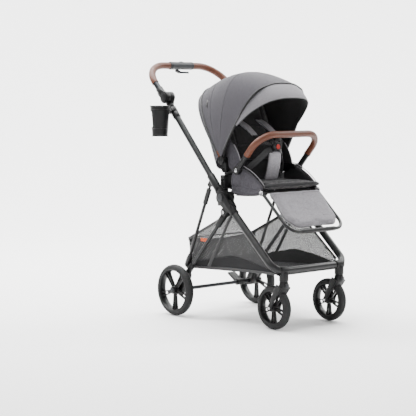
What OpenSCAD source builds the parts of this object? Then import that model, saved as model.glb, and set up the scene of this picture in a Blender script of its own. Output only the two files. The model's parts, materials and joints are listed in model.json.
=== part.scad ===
// Folding baby stroller: X is sideways (plus X is the child's left), Y runs rearwards, Z is up.
// The origin is on the ground, under the front wheels' axles, on the centre plane.

/* [Frame] */
// Half of the distance between the side tubes
frame_half = 206; // [195:1:225]
// Outer diameter of the front frame tube
frame_tube_d = 30; // [26:1:34]
// Wall of the frame tubes
tube_wall = 1.8; // [1.2:0.1:2.5]
// Height of the front bar
front_bar_z = 244; // [225:1:260]
// Distance from the front bar to the hub pivot, along the side tube
lower_len = 417; // [380:1:450]
// Rise of the front frame's side tubes, in degrees
lower_angle = 42.2; // [38:0.2:46]
// Bend radius of the front frame's corners
front_corner = 50; // [42:1:60]

/* [Upper frame] */
// Rise of the upper tubes, in degrees
upper_angle = 48; // [44:0.5:52]
// Length from the hub pivot to the open end of the upper tube
upper_len = 461; // [420:1:500]
// Outer diameter of the upper tubes
upper_tube_d = 26; // [24:1:28]
// Distance from the hub pivot to the handle pivot, along the tube
handle_pivot_s = 543; // [520:1:580]
// Distance of the handle pivot in front of the tube's axis
handle_pivot_off = 13; // [8:1:18]

/* [Handle] */
// Half of the distance between the handle's arms
handle_half = 214; // [212:1:220]
// Length from the handle pivot to the handlebar
handle_len = 215; // [190:1:240]
// Bend radius of the handlebar's corners
handle_corner = 115; // [80:1:120]
// Lean of the handle's arms, in degrees from horizontal
handle_angle = 43.8; // [35:0.2:55]
// Outer diameter of the handle's tube
handle_tube_d = 25; // [22:1:26]
// Outer diameter of the soft grips
grip_d = 30; // [28:1:33]
// Half length of the console at the middle of the handlebar
console_half = 66; // [60:1:75]

/* [Rear frame] */
// Length of a rear leg from its pivot to the wheel carrier
leg_len = 385; // [370:1:395]
// Slope of the rear legs below horizontal, in degrees
leg_angle = 48.5; // [46:0.5:51]
// Outer diameter of the rear leg tubes
leg_tube_d = 16; // [14:1:18]
// Outer diameter of the thin side links
link_d = 13.5; // [12:0.5:15]
// Position of the rear axle behind the front axle
rear_axle_y = 527; // [520:1:535]

/* [Wheels] */
// Radius of the front wheels
front_wheel_r = 90.6; // [85:0.2:92]
// Radius of the rear wheels
rear_wheel_r = 111; // [105:1:115]
// Width of the tyres
tyre_w = 36; // [32:1:38]
// Half of the front track
front_track_half = 162; // [155:1:166]
// Half of the rear track
rear_track_half = 241; // [241:1:250]
// Distance of the swivel stem ahead of the front axle
trail = 55; // [50:1:58]

/* [Seat] */
// Half of the outer distance between the seat's side plates
seat_half = 150; // [140:1:152]
// Height of the top of the seat cushion
seat_top_z = 588; // [584:1:592]
// Length of the backrest frame
back_len = 330; // [300:1:335]
// Lean of the backrest in its stored position, in degrees from horizontal
back_angle = 67; // [64:0.5:70]
// Length of the footrest
footrest_len = 219; // [200:1:240]
// Half width of the canopy
canopy_half = 188; // [180:1:190]
// Radius of the canopy about its pivot
canopy_r = 366; // [350:1:380]
// Length of the bumper bar from its pivot
bumper_len = 200; // [185:1:215]
// Half of the distance between the bumper bar's arms
bumper_half = 178; // [177:1:179]

/* [Fits] */
// Radial clearance of a pin or tube that turns or slides
run = 0.05; // [0.02:0.01:0.1]
// Gap between a soft piece and what it lies on
soft_gap = 0.3; // [0.2:0.05:0.6]
// Side gap between faces that turn past each other
side_gap = 0.5; // [0.3:0.1:1]

/* [Hidden] */
$fn = 48;

// colours
frame_black = "#2b2b2d";
plastic_black = "#242426";
metal_grey = "#8d8e90";
leather_tan = "#96603f";
fabric_grey = "#7b797e";
fabric_light = "#a3a1a6";
mesh_dark = "#4a4a4c";
rubber_black = "#2e2e30";

// frame geometry in the side plane, as [y, z]
front_bar_y = 4 - trail;
hub_y = front_bar_y + lower_len * cos(lower_angle);
hub_z = front_bar_z + lower_len * sin(lower_angle);
function up(s, off = 0) = [hub_y + s * cos(upper_angle) - off * sin(upper_angle),
                           hub_z + s * sin(upper_angle) + off * cos(upper_angle)];
function low(s, off = 0) = [hub_y - s * cos(lower_angle) + off * sin(lower_angle),
                            hub_z - s * sin(lower_angle) - off * cos(lower_angle)];
hub = [hub_y, hub_z];
hub_r = 27;
hub_pin_d = 12;
knuckle_half = 9;
cheek_in = knuckle_half + side_gap;
cheek_out = 17.5;
// the leg pivot stands a tube's width behind the side tube
leg_knuckle_r = 12.5;
leg_pivot = low(54, frame_tube_d / 2 + leg_knuckle_r + 4.5);
leg_pin_d = 8;
function leg(t, off = 0) = [leg_pivot[0] + t * cos(leg_angle) + off * sin(leg_angle),
                            leg_pivot[1] - t * sin(leg_angle) + off * cos(leg_angle)];
leg_end = leg(leg_len);
link_top_s = 90;
link_top_off = -26.5;
link_top = up(link_top_s, link_top_off);
link_foot_t = 344;
link_foot_off = 26;
link_foot = leg(link_foot_t, link_foot_off);
link_len = norm(link_foot - link_top);
link_dir = atan2(link_foot[1] - link_top[1], link_foot[0] - link_top[0]);
link_pin_d = 6;
link_foot_play = 5;
rear_axle = [rear_axle_y, rear_wheel_r];
front_axle = [0, front_wheel_r];
handle_pivot = up(handle_pivot_s, handle_pivot_off);
handle_arm_off = -10;
handle_bar = handle_pivot + [handle_len * cos(handle_angle) - handle_arm_off * sin(handle_angle),
                             handle_len * sin(handle_angle) + handle_arm_off * cos(handle_angle)];

// telescope
collar_len = 26;
collar_top = upper_len + 5;
upper_bore_d = upper_tube_d - 3.2;
telescope_d = upper_bore_d - 2 * run;
telescope_in = 131;
neck_low = handle_pivot_s - 45;
neck_high = handle_pivot_s - 26;
barrel_r = 25;
barrel_in = handle_half - 24;
barrel_out = handle_half - 2;
hub_face = barrel_out + side_gap;
handle_pin_d = 12;
grip_start = handle_len - handle_corner - 2;

// cup holder on the right-hand tube
cup_r = 42;
cup_foot_r = 33;
cup_h = 131;
cup_wall = 3;
clamp_low = collar_top + 4;
clamp_high = clamp_low + 22;
clamp_face = frame_half + 20;
cup_at = [-(clamp_face + cup_r), up(clamp_high)[0] + 8];
cup_z = up(clamp_high)[1] - cup_h + 12;
cup_slot_turn = 41;

// casters and wheels
stem_y = -trail;
stem_d = 12;
socket_r = 19;
socket_low = 205;
crown_top = socket_low - side_gap;
crown_z = 187;
crown_r = 17;
fork_in = tyre_w / 2 + 3;
fork_out = fork_in + 8;
front_axle_d = 8;
rear_axle_d = 10;
tyre_round = tyre_w / 2;
tyre_wall = 2.6;
rim_fit = 0.1;
carrier_in = rear_track_half - tyre_w / 2 - 31;
carrier_out = rear_track_half - tyre_w / 2 - 1;
axle_tube_d = 16;

// seat unit
seat_hinge = [298, 640];
back_half = seat_half + 9;
back_tube_d = 16;
back_pin_d = 10;
canopy_pivot = [300, 678];
bumper_pivot = [203, 638];
bumper_angle = 132;
bumper_corner = 82;
bumper_tube_d = 24;
bumper_grip_d = 28;
bumper_grip_start = 81;
footrest_pivot = [74, 549];
footrest_angle = 222;
footrest_tube_d = 14;
footrest_half = seat_half + 8;
plate_t = 10;
plate_in = seat_half - plate_t;
adapter_y = 293;
adapter_low = 500;
adapter_high = 562;
tongue_t = 10;
tongue_w = 28;
tongue_x = frame_half - cheek_out - 10.5;
seat_bottom_z = seat_top_z - 31;
canopy_rear = 61;
canopy_front = 120;
canopy_shell_t = 3;
canopy_power = 0.5;
visor_lean = 13;
visor_foot = 22;

// basket outline in the side plane
basket_half = frame_half - frame_tube_d / 2 - 3;
basket_wall = 3;
saddle_r = frame_tube_d / 2 + 3.5;
basket_front = front_bar_y + saddle_r + soft_gap;
basket_rear = [500, 336];
basket_tail = [482, 207];
basket_rim_d = 6;

// ---- helpers ----
module both_sides() {
    children();
    mirror([1, 0, 0]) children();
}
module at(x, p) translate([x, p[0], p[1]]) children();
// a round bar along X between x0 and x1
module disc_x(x0, x1, p, r) at(x0, p) rotate([0, 90, 0]) cylinder(h = x1 - x0, r = r);
// a bar in the side plane that starts at p and runs at angle a above plus Y
module rod(x, p, a, len, d) at(x, p) rotate([a - 90, 0, 0]) cylinder(h = len, d = d);
// a flat outline drawn in Y and Z, from x0 to x1
module plate(x0, x1) translate([x0, 0, 0]) rotate([90, 0, 90]) linear_extrude(x1 - x0) children();
// two circles and the straight strip that touches both
module strap(a, ra, b, rb) {
    d = norm(b - a);
    turn = atan2(b[1] - a[1], b[0] - a[0]);
    lean = acos((ra - rb) / d);
    translate(a) circle(r = ra);
    translate(b) circle(r = rb);
    polygon([for (c = [[a, ra, lean], [b, rb, lean], [b, rb, -lean], [a, ra, -lean]])
        c[0] + c[1] * [cos(turn + c[2]), sin(turn + c[2])]]);
}
// a U in the local XY plane: legs from y = start, cross bar at y = len
module u_solid(half, start, len, corner, d) {
    for (s = [-1, 1]) {
        translate([s * half, start, 0]) rotate([-90, 0, 0]) cylinder(h = len - corner - start, d = d);
        translate([s * (half - corner), len - corner, 0]) rotate([0, 0, s > 0 ? 0 : 90])
            rotate_extrude(angle = 90) translate([corner, 0]) circle(d = d);
    }
    translate([corner - half, len, 0]) rotate([0, 90, 0]) cylinder(h = 2 * (half - corner), d = d);
}
module u_tube(half, start, len, corner, d, wall) {
    difference() {
        u_solid(half, start, len, corner, d);
        u_solid(half, start - 1, len, corner, d - 2 * wall);
    }
}
// puts a local XY plane at p, its Y axis leaning at angle a
module leaning(p, a) translate([0, p[0], p[1]]) rotate([a, 0, 0]) children();
// a closed skin between two grids of points with equal rows and columns
module skin(outer, inner) {
    rows = len(outer);
    cols = len(outer[0]);
    n = rows * cols;
    pts = concat([for (r = outer, p = r) p], [for (r = inner, p = r) p]);
    function id(i, j, k) = k * n + i * cols + j;
    sheet = [for (i = [0:rows - 2], j = [0:cols - 2], k = [0, 1])
        k == 0 ? [id(i, j, 0), id(i, j + 1, 0), id(i + 1, j + 1, 0), id(i + 1, j, 0)]
               : [id(i, j, 1), id(i + 1, j, 1), id(i + 1, j + 1, 1), id(i, j + 1, 1)]];
    ends = [for (j = [0:cols - 2], e = [0, 1])
        e == 0 ? [id(0, j, 0), id(0, j, 1), id(0, j + 1, 1), id(0, j + 1, 0)]
               : [id(rows - 1, j, 0), id(rows - 1, j + 1, 0), id(rows - 1, j + 1, 1), id(rows - 1, j, 1)]];
    sides = [for (i = [0:rows - 2], e = [0, 1])
        e == 0 ? [id(i, 0, 0), id(i + 1, 0, 0), id(i + 1, 0, 1), id(i, 0, 1)]
               : [id(i, cols - 1, 0), id(i, cols - 1, 1), id(i + 1, cols - 1, 1), id(i + 1, cols - 1, 0)]];
    polyhedron(pts, concat(sheet, ends, sides), convexity = 6);
}

// ---- chassis ----
module front_frame() color(frame_black)
    leaning(hub, 180 + lower_angle)
        u_tube(frame_half, 32, lower_len, front_corner, frame_tube_d, tube_wall);

sleeve_end = 96;
module hub_housings() color(plastic_black) both_sides() difference() {
    union() {
        // cheeks on both sides of the moving knuckle, and the ears of the leg pivot
        for (x = [[-cheek_out, -cheek_in], [cheek_in, cheek_out]])
            plate(frame_half + x[0], frame_half + x[1]) {
                strap(hub, hub_r, low(60), 19);
                strap(low(54), 18, leg_pivot, 16);
            }
        // the sleeve that holds the front tube
        leaning(hub, 180 + lower_angle) translate([frame_half, 31, 0]) rotate([-90, 0, 0])
            cylinder(h = sleeve_end - 31, d = frame_tube_d + 6.5);
        disc_x(frame_half - cheek_out, frame_half + cheek_out, hub, hub_pin_d / 2);
        disc_x(frame_half - cheek_out, frame_half + cheek_out, leg_pivot, leg_pin_d / 2);
        disc_x(frame_half + cheek_out, frame_half + cheek_out + 3, hub, 17);
        disc_x(frame_half + cheek_out, frame_half + cheek_out + 2, leg_pivot, 9);
    }
    leaning(hub, 180 + lower_angle) translate([frame_half, 31.9, 0]) rotate([-90, 0, 0])
        cylinder(h = sleeve_end, d = frame_tube_d + 2 * run);
    // room for the leg's knuckle
    difference() {
        disc_x(frame_half - cheek_in, frame_half + cheek_in, leg_pivot, leg_knuckle_r + 1);
        disc_x(frame_half - cheek_in - 1, frame_half + cheek_in + 1, leg_pivot, leg_pin_d / 2);
    }
}

module caster_sockets() color(plastic_black) both_sides() difference() {
    union() {
        translate([front_track_half, stem_y, socket_low])
            cylinder(h = front_bar_z - 4 - socket_low, r = socket_r);
        // a saddle that clips round the front bar
        at(front_track_half - 22, [front_bar_y, front_bar_z]) rotate([0, 90, 0])
            cylinder(h = 40, r = saddle_r);
    }
    leaning(hub, 180 + lower_angle)
        u_solid(frame_half, 200, lower_len, front_corner, frame_tube_d + 2 * run);
    translate([front_track_half, stem_y, socket_low - 1])
        cylinder(h = 24, d = stem_d + 2 * run);
}

module seat_sockets() color(plastic_black) both_sides() difference() {
    x_in = tongue_x - tongue_t - 4;
    x_out = frame_half - cheek_out;
    plate(x_in, x_out) {
        translate([adapter_y - tongue_w / 2 - 6, adapter_low - 14])
            square([tongue_w + 12, adapter_high - adapter_low + 12]);
        strap(hub, hub_r - 3, [adapter_y - 4, hub_z + 6], 16);
    }
    translate([tongue_x - tongue_t - soft_gap, adapter_y - tongue_w / 2 - soft_gap, adapter_low - 1])
        cube([tongue_t + 2 * soft_gap, tongue_w + 2 * soft_gap, 80]);
}

function rim_path(s) = [[s * (frame_half - cheek_out - basket_rim_d / 2 - 0.2), leg_pivot[0] - 8, leg_pivot[1] + 1],
                        [s * (basket_half - basket_wall / 2), basket_rear[0], basket_rear[1]]];
module bar_between(a, b, d) {
    v = b - a;
    translate(a) rotate([0, acos(v[2] / norm(v)), atan2(v[1], v[0])]) cylinder(h = norm(v), d = d);
}
module basket_rim() color("#1d1d1f") {
    for (s = [-1, 1]) {
        bar_between(rim_path(s)[0], rim_path(s)[1], basket_rim_d);
        translate(rim_path(s)[1]) sphere(d = basket_rim_d + 0.6);
    }
    bar_between(rim_path(-1)[1], rim_path(1)[1], basket_rim_d);
}

module basket() color(mesh_dark) difference() {
    w = basket_wall;
    floor_front = [basket_front, front_bar_z - 12];
    rim_low = basket_rear - [0, basket_rim_d / 2 + soft_gap];
    union() {
        for (x = [-basket_half, basket_half - w]) plate(x, x + w) polygon([
            floor_front, floor_front + [0, 4], [basket_front + 22, front_bar_z + 20],
            leg_pivot - [22, 14], leg_pivot - [8, 2.7], rim_low - [w, 0], basket_tail, basket_tail - [w, 0]]);
        plate(-basket_half, basket_half) {
            polygon([floor_front, floor_front + [0, w], basket_tail + [-w, w], basket_tail, basket_tail - [w, 0]]);
            polygon([basket_tail, rim_low, rim_low - [w, 0], basket_tail - [w, -w]]);
            translate(floor_front) square([w, 24]);
        }
    }
    // room for the rounded corners of the front frame
    leaning(hub, 180 + lower_angle)
        u_solid(frame_half, 200, lower_len, front_corner, frame_tube_d + 2 * soft_gap);
}

// ---- upper frame ----
socket_top = 118;
module upper_tubes() color(frame_black) both_sides() difference() {
    rod(frame_half, up(52), upper_angle, upper_len - 52, upper_tube_d);
    rod(frame_half, up(51), upper_angle, upper_len, upper_bore_d);
}
module upper_knuckles() color(plastic_black) both_sides() difference() {
    union() {
        plate(frame_half - knuckle_half, frame_half + knuckle_half) strap(hub, 24, up(50), 14);
        rod(frame_half, up(42), upper_angle, socket_top - 42, upper_tube_d + 7);
        // the lug and pin of the side link
        for (x = [[-9.5, -5.5], [5.5, 9.5]])
            plate(frame_half + x[0], frame_half + x[1]) strap(link_top, 9, up(link_top_s, -10), 12);
        disc_x(frame_half - 9.5, frame_half + 9.5, link_top, link_pin_d / 2);
    }
    disc_x(frame_half - 20, frame_half + 20, hub, hub_pin_d / 2 + run);
    rod(frame_half, up(51.9), upper_angle, upper_len, upper_tube_d + 2 * run);
}
module tube_collars() color(plastic_black) both_sides() difference() {
    rod(frame_half, up(collar_top - collar_len), upper_angle, collar_len, upper_tube_d + 6);
    rod(frame_half, up(collar_top - collar_len - 1), upper_angle, upper_len - collar_top + collar_len + 1,
        upper_tube_d + 2 * run);
    rod(frame_half, up(upper_len - 2), upper_angle, 40, telescope_d + 2 * run);
}

// ---- telescope ----
module telescope_tubes() color(metal_grey) both_sides() difference() {
    rod(frame_half, up(upper_len - telescope_in), upper_angle,
        telescope_in + neck_high - 0.1 - upper_len, telescope_d);
    rod(frame_half, up(upper_len - telescope_in - 1), upper_angle, 400, telescope_d - 2 * tube_wall);
}
module pivot_barrels() color(plastic_black) both_sides() difference() {
    union() {
        disc_x(barrel_in, barrel_out, handle_pivot, barrel_r);
        plate(frame_half - 12, barrel_out) strap(handle_pivot, barrel_r, up(neck_high), 14);
        rod(frame_half, up(neck_low), upper_angle, neck_high - neck_low, telescope_d + 6);
        disc_x(barrel_out - 1, barrel_out + 16, handle_pivot, handle_pin_d / 2);
    }
    rod(frame_half, up(neck_low - 1), upper_angle, neck_high - neck_low + 1, telescope_d + 2 * run);
    disc_x(barrel_in - 1, barrel_in + 6, handle_pivot, 14);
}
module cup_clamp() color(plastic_black) mirror([1, 0, 0]) difference() {
    union() {
        rod(frame_half, up(clamp_low), upper_angle, clamp_high - clamp_low, telescope_d + 10);
        leaning(up(clamp_low), upper_angle) translate([frame_half, 0, -13])
            cube([clamp_face - frame_half, clamp_high - clamp_low, 26]);
    }
    rod(frame_half, up(clamp_low - 1), upper_angle, 60, telescope_d + 2 * run);
}
module cup_holder() color(plastic_black) {
    difference() {
        union() {
            translate([cup_at[0], cup_at[1], cup_z]) cylinder(h = cup_h, r1 = cup_foot_r, r2 = cup_r);
            translate([cup_at[0], cup_at[1], cup_z]) cylinder(h = 3, r = cup_foot_r + 2);
            mirror([1, 0, 0]) leaning(up(clamp_low), upper_angle) translate([clamp_face, 0, -11])
                cube([12, clamp_high - clamp_low, 22]);
        }
        translate([cup_at[0], cup_at[1], cup_z + 3])
            cylinder(h = cup_h, r1 = cup_foot_r - cup_wall, r2 = cup_r - cup_wall + 0.2);
        // the open window that lets a mug's handle through
        translate([cup_at[0], cup_at[1], cup_z + 40]) rotate([0, 0, 180 - cup_slot_turn])
            translate([0, -19, 0]) cube([60, 38, 66]);
    }
}

// ---- handle ----
module handle_tube() color(metal_grey) leaning(handle_pivot, handle_angle)
    translate([0, 0, handle_arm_off]) u_tube(handle_half, 30, handle_len, handle_corner, handle_tube_d, tube_wall);
module handle_hubs() color(plastic_black) both_sides() leaning(handle_pivot, handle_angle) difference() {
    union() {
        translate([hub_face, 0, 0]) rotate([0, 90, 0]) cylinder(h = 20, r = barrel_r);
        translate([hub_face + 20, 0, 0]) rotate([0, 90, 0]) cylinder(h = 3.5, r = barrel_r - 6);
        plate(hub_face, hub_face + 14) strap([0, 0], 22, [40, handle_arm_off], 14.5);
        translate([handle_half, 27, handle_arm_off]) rotate([-90, 0, 0]) cylinder(h = 38, d = handle_tube_d + 6);
    }
    translate([handle_half, 29.9, handle_arm_off]) rotate([-90, 0, 0])
        cylinder(h = 60, d = handle_tube_d + 2 * run);
    translate([hub_face - 1, 0, 0]) rotate([0, 90, 0]) cylinder(h = 17.5, d = handle_pin_d + 2 * run);
}
module handle_grips() color(leather_tan) leaning(handle_pivot, handle_angle)
    translate([0, 0, handle_arm_off]) difference() {
        u_solid(handle_half, grip_start, handle_len, handle_corner, grip_d);
        u_solid(handle_half, grip_start - 1, handle_len, handle_corner, handle_tube_d + 2 * run);
        translate([-console_half, 100, -30]) cube([2 * console_half, 200, 60]);
    }
trigger_z = -23;
module handle_console() color("#56575a") difference() {
    union() {
        disc_x(-console_half + 0.2, console_half - 0.2, handle_bar, 17);
        // ear and pin of the fold trigger
        at(0, handle_bar) translate([-22, 0, trigger_z]) rotate([90, 0, 0]) cylinder(h = 8, r = 5, center = true);
        at(0, handle_bar) translate([-27, -4, trigger_z]) cube([10, 8, 8]);
        at(0, handle_bar) translate([-22, 0, trigger_z]) rotate([90, 0, 0]) cylinder(h = 17, d = 5, center = true);
    }
    disc_x(-100, 100, handle_bar, handle_tube_d / 2 + run);
    at(0, handle_bar) translate([-10.2, -6.2, 13]) cube([28.6, 12.4, 10]);
}
module fold_trigger() color(metal_grey) at(0, handle_bar) {
    difference() {
        for (y = [4.4, -8]) translate([0, y + 3.6, 0]) rotate([90, 0, 0]) linear_extrude(3.6)
            strap([-22, trigger_z], 5.5, [-6, trigger_z - 7], 4.4);
        translate([-22, 0, trigger_z]) rotate([90, 0, 0]) cylinder(h = 30, d = 5 + 2 * run, center = true);
    }
    translate([-7, 0, trigger_z - 7]) rotate([90, 0, 0]) cylinder(h = 10, r = 4.4, center = true);
    translate([-7, 0, trigger_z - 7]) rotate([0, 90, 0]) cylinder(h = 52, r = 4.4);
}
module fold_lock() color("#77787a") at(0, handle_bar) translate([-10, -6, 13.2]) {
    cube([20, 12, 4.6]);
    translate([7, 0, 0]) cube([6, 12, 6.4]);
}
module tilt_button() color("#3a3a3c") disc_x(barrel_in - 6, barrel_in + 1.8, handle_pivot, 13.9);
module left_tilt_button() tilt_button();
module right_tilt_button() mirror([1, 0, 0]) tilt_button();

// ---- rear frame ----
module rear_leg_sleeves() color(plastic_black) both_sides() difference() {
    union() {
        disc_x(frame_half - knuckle_half, frame_half + knuckle_half, leg_pivot, leg_knuckle_r);
        plate(frame_half - knuckle_half, frame_half + knuckle_half) strap(leg_pivot, leg_knuckle_r, leg(26), 11);
        rod(frame_half, leg(22), -leg_angle, 56, leg_tube_d + 12);
    }
    disc_x(frame_half - 20, frame_half + 20, leg_pivot, leg_pin_d / 2 + run);
    rod(frame_half, leg(29.9), -leg_angle, 80, leg_tube_d + 2 * run);
}
module rear_legs() color(frame_black) both_sides() difference() {
    rod(frame_half, leg(30), -leg_angle, leg_len - 42, leg_tube_d);
    rod(frame_half, leg(29), -leg_angle, leg_len, leg_tube_d - 2 * tube_wall);
}
module wheel_carriers() color(plastic_black) both_sides() difference() {
    union() {
        plate(carrier_in, carrier_out) strap(leg_end, 19, rear_axle, 19);
        rod(frame_half, leg(316), -leg_angle, leg_len - 316, leg_tube_d + 9);
        plate(frame_half - 4.5, frame_half + 4.5) strap(leg(link_foot_t), 10, link_foot, 13);
    }
    rod(frame_half, leg(300), -leg_angle, leg_len - 312 + 0.1, leg_tube_d + 2 * run);
    disc_x(frame_half - 20, frame_half + 20, link_foot, link_pin_d / 2 + link_foot_play);
    disc_x(carrier_in - 1, carrier_in + 8, rear_axle, axle_tube_d / 2 + run);
    disc_x(carrier_in + 12, carrier_out + 1, rear_axle, rear_axle_d / 2 + run);
}
axle_head_r = 9;
axle_head_x = rear_track_half + tyre_w / 2 + 2 * side_gap;
module rear_axles() color(metal_grey) {
    difference() {
        disc_x(-carrier_in - 8, carrier_in + 8, rear_axle, axle_tube_d / 2);
        disc_x(-carrier_in - 9, carrier_in + 9, rear_axle, axle_tube_d / 2 - tube_wall);
    }
    both_sides() {
        disc_x(carrier_in + 12, axle_head_x + 1, rear_axle, rear_axle_d / 2);
        disc_x(axle_head_x, axle_head_x + 3, rear_axle, axle_head_r);
    }
}
function along_link(t) = link_top + t * [cos(link_dir), sin(link_dir)];
module side_link() color(frame_black) difference() {
    union() {
        // eye on the lug's pin, then the plastic sleeve and the thin tube
        disc_x(frame_half - 5, frame_half + 5, link_top, 8.5);
        rod(frame_half, along_link(6), link_dir, 24, 9.6);
        rod(frame_half, along_link(20), link_dir, 68, 21);
        rod(frame_half, along_link(70), link_dir, link_len - 105, link_d);
        // fork over the carrier's lug
        for (x = [[-9, -5.3], [5.3, 9]]) plate(frame_half + x[0], frame_half + x[1])
            strap(link_foot, 8.5, along_link(link_len - 30), 7.5);
        rod(frame_half, along_link(link_len - 44), link_dir, 22, 20);
        disc_x(frame_half - 9, frame_half + 9, link_foot, link_pin_d / 2);
    }
    disc_x(frame_half - 12, frame_half + 12, link_top, link_pin_d / 2 + run);
}
module left_link() side_link();
module right_link() mirror([1, 0, 0]) side_link();
pedal_x = [118, 158];
module brake_pedal() color("#3c3d3f") difference() {
    union() {
        disc_x(pedal_x[0], pedal_x[1], rear_axle, 14);
        plate(pedal_x[0], pedal_x[1]) strap(rear_axle + [12, 6], 6, rear_axle + [56, 34], 5);
    }
    disc_x(pedal_x[0] - 1, pedal_x[1] + 1, rear_axle, axle_tube_d / 2 + run);
}

// ---- wheels ----
module tyre(x, axle, r) at(x, axle) rotate([0, 90, 0]) color(rubber_black) rotate_extrude($fn = 96) {
    translate([r - tyre_round, 0]) circle(r = tyre_round);
    translate([r - tyre_round - tyre_wall, -tyre_w / 2]) square([tyre_wall, tyre_w]);
}
module rim(x, axle, r, bore) {
    bead = r - tyre_round - tyre_wall - rim_fit;
    at(x, axle) rotate([0, 90, 0]) color(plastic_black) difference() {
        union() {
            difference() {
                cylinder(h = tyre_w - 4, r = bead, center = true, $fn = 96);
                cylinder(h = tyre_w, r = bead - 9, center = true, $fn = 96);
            }
            cylinder(h = tyre_w + 2 * side_gap, r = 15, center = true);
            for (i = [0:4]) rotate([0, 0, 72 * i]) translate([10, -8, -7]) cube([bead - 14, 16, 14]);
        }
        cylinder(h = tyre_w + 5, d = bore + 2 * run, center = true);
        // the D profile of the tyre dips below its bead
        rotate_extrude($fn = 96) translate([r - tyre_round, 0]) circle(r = tyre_round + rim_fit);
    }
}
module rear_left_tyre() tyre(rear_track_half, rear_axle, rear_wheel_r);
module rear_right_tyre() tyre(-rear_track_half, rear_axle, rear_wheel_r);
module rear_left_rim() rim(rear_track_half, rear_axle, rear_wheel_r, rear_axle_d);
module rear_right_rim() rim(-rear_track_half, rear_axle, rear_wheel_r, rear_axle_d);
module front_left_tyre() tyre(front_track_half, front_axle, front_wheel_r);
module front_right_tyre() tyre(-front_track_half, front_axle, front_wheel_r);
module front_left_rim() rim(front_track_half, front_axle, front_wheel_r, front_axle_d);
module front_right_rim() rim(-front_track_half, front_axle, front_wheel_r, front_axle_d);

// ---- casters ----
module fork() color(plastic_black) difference() {
    union() {
        for (x = [[-fork_out, -fork_in], [fork_in, fork_out]])
            plate(front_track_half + x[0], front_track_half + x[1]) strap([stem_y, crown_z], crown_r, front_axle, 12);
        disc_x(front_track_half - fork_out, front_track_half + fork_out, [stem_y, crown_z], crown_r);
        translate([front_track_half, stem_y, crown_z]) cylinder(h = crown_top - crown_z, r = crown_r);
    }
    translate([front_track_half, stem_y, crown_z - 4]) cylinder(h = 60, d = stem_d + 2 * run);
    disc_x(front_track_half - fork_out - 1, front_track_half + fork_out + 1, front_axle, front_axle_d / 2 + run);
}
module fork_pins() color(metal_grey) {
    translate([front_track_half, stem_y, crown_z - 4]) cylinder(h = socket_low + 22 - crown_z + 4, d = stem_d);
    disc_x(front_track_half - fork_out - 2, front_track_half + fork_out + 2, front_axle, front_axle_d / 2);
}
module swivel_lock() color("#4b4c4e")
    translate([front_track_half - 8, stem_y - crown_r - 6.2, crown_z - 8]) cube([16, 6, 15]);
module left_fork() fork();
module left_pins() fork_pins();
module left_swivel_lock() swivel_lock();
module right_fork() mirror([1, 0, 0]) fork();
module right_pins() mirror([1, 0, 0]) fork_pins();
module right_swivel_lock() mirror([1, 0, 0]) swivel_lock();

// ---- seat unit ----
boss_r = 14;
bumper_face = bumper_half - 7;
module seat_frame() color(plastic_black) {
    both_sides() {
        plate(plate_in, seat_half) {
            strap([adapter_y, adapter_high + 6], 12, seat_hinge, 20);
            strap(seat_hinge, 20, bumper_pivot, 17);
            strap([adapter_y, adapter_high + 6], 12, footrest_pivot, 11);
        }
        // bracket and tongue that drop into the hub's socket, with a well for the release button
        difference() {
            translate([plate_in, adapter_y - tongue_w / 2, adapter_high])
                cube([tongue_x - plate_in, tongue_w, 52]);
            disc_x(tongue_x - 5, tongue_x + 1, [adapter_y, release_z], 8.1);
        }
        translate([tongue_x - tongue_t, adapter_y - tongue_w / 2, adapter_low])
            cube([tongue_t, tongue_w, adapter_high - adapter_low + 1]);
        disc_x(seat_half - 1, bumper_face - side_gap, bumper_pivot, boss_r);
        disc_x(bumper_face - side_gap - 1, bumper_half + 8, bumper_pivot, 4);
        disc_x(seat_half - 1, back_half + 7, seat_hinge, back_pin_d / 2);
        disc_x(seat_half - 1, footrest_half + 5, footrest_pivot, 4);
    }
    // cross tubes under the cushion
    for (y = [96, 268]) disc_x(-plate_in - 1, plate_in + 1, [y, seat_bottom_z - soft_gap - 7], 7);
}
module seat_pad() color("#4d4c50") {
    plate(-plate_in + 1, plate_in - 1) polygon([[90, seat_bottom_z], [278, seat_bottom_z],
        [284, seat_bottom_z + 8], [280, seat_top_z], [90, seat_top_z]]);
    plate(-seat_half, seat_half) polygon([[90, seat_top_z - 24], [90, seat_top_z], [64, seat_top_z],
        [57, seat_top_z - 7], [57, seat_top_z - 20], [62, seat_top_z - 24]]);
}
wing_in = seat_half + 1;
module side_wings() color(fabric_grey) both_sides() plate(wing_in, wing_in + 8) difference() {
    polygon([[222, 662], [198, 653], [172, 645], [147, 634], [120, 619], [96, 602], [77, 586], [62, 570],
             [66, 566], [236, 570], [252, 580], [262, 600], [262, 618]]);
    translate(bumper_pivot) circle(r = boss_r + soft_gap);
    translate(footrest_pivot) circle(r = 18);
    translate(seat_hinge) circle(r = 19);
}
crotch_half = 30;
module crotch_pad() color(fabric_light) plate(-crotch_half, crotch_half)
    polygon([[180, seat_top_z + soft_gap], [204, seat_top_z + soft_gap], [178, 712], [170, 716],
             [160, 716], [154, 712]]);
buckle_z = 716.3;
module buckle() color("#1c1c1e") difference() {
    plate(-27, 27) polygon([[150, buckle_z], [174, buckle_z], [170, buckle_z + 28], [162, buckle_z + 34],
                            [150, buckle_z + 34], [146, buckle_z + 28]]);
    translate([0, 140, buckle_z + 16]) rotate([-90, 0, 0]) cylinder(h = 15, r = 10.2);
}
module buckle_button() color("#8f1f1c") translate([0, 144.5, buckle_z + 16]) rotate([-90, 0, 0])
    cylinder(h = 6.5, r = 10);
release_z = 603;
module seat_release() color(metal_grey) disc_x(tongue_x - 1.8, tongue_x + 3, [adapter_y, release_z], 8);
module left_seat_release() seat_release();
module right_seat_release() mirror([1, 0, 0]) seat_release();

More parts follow.
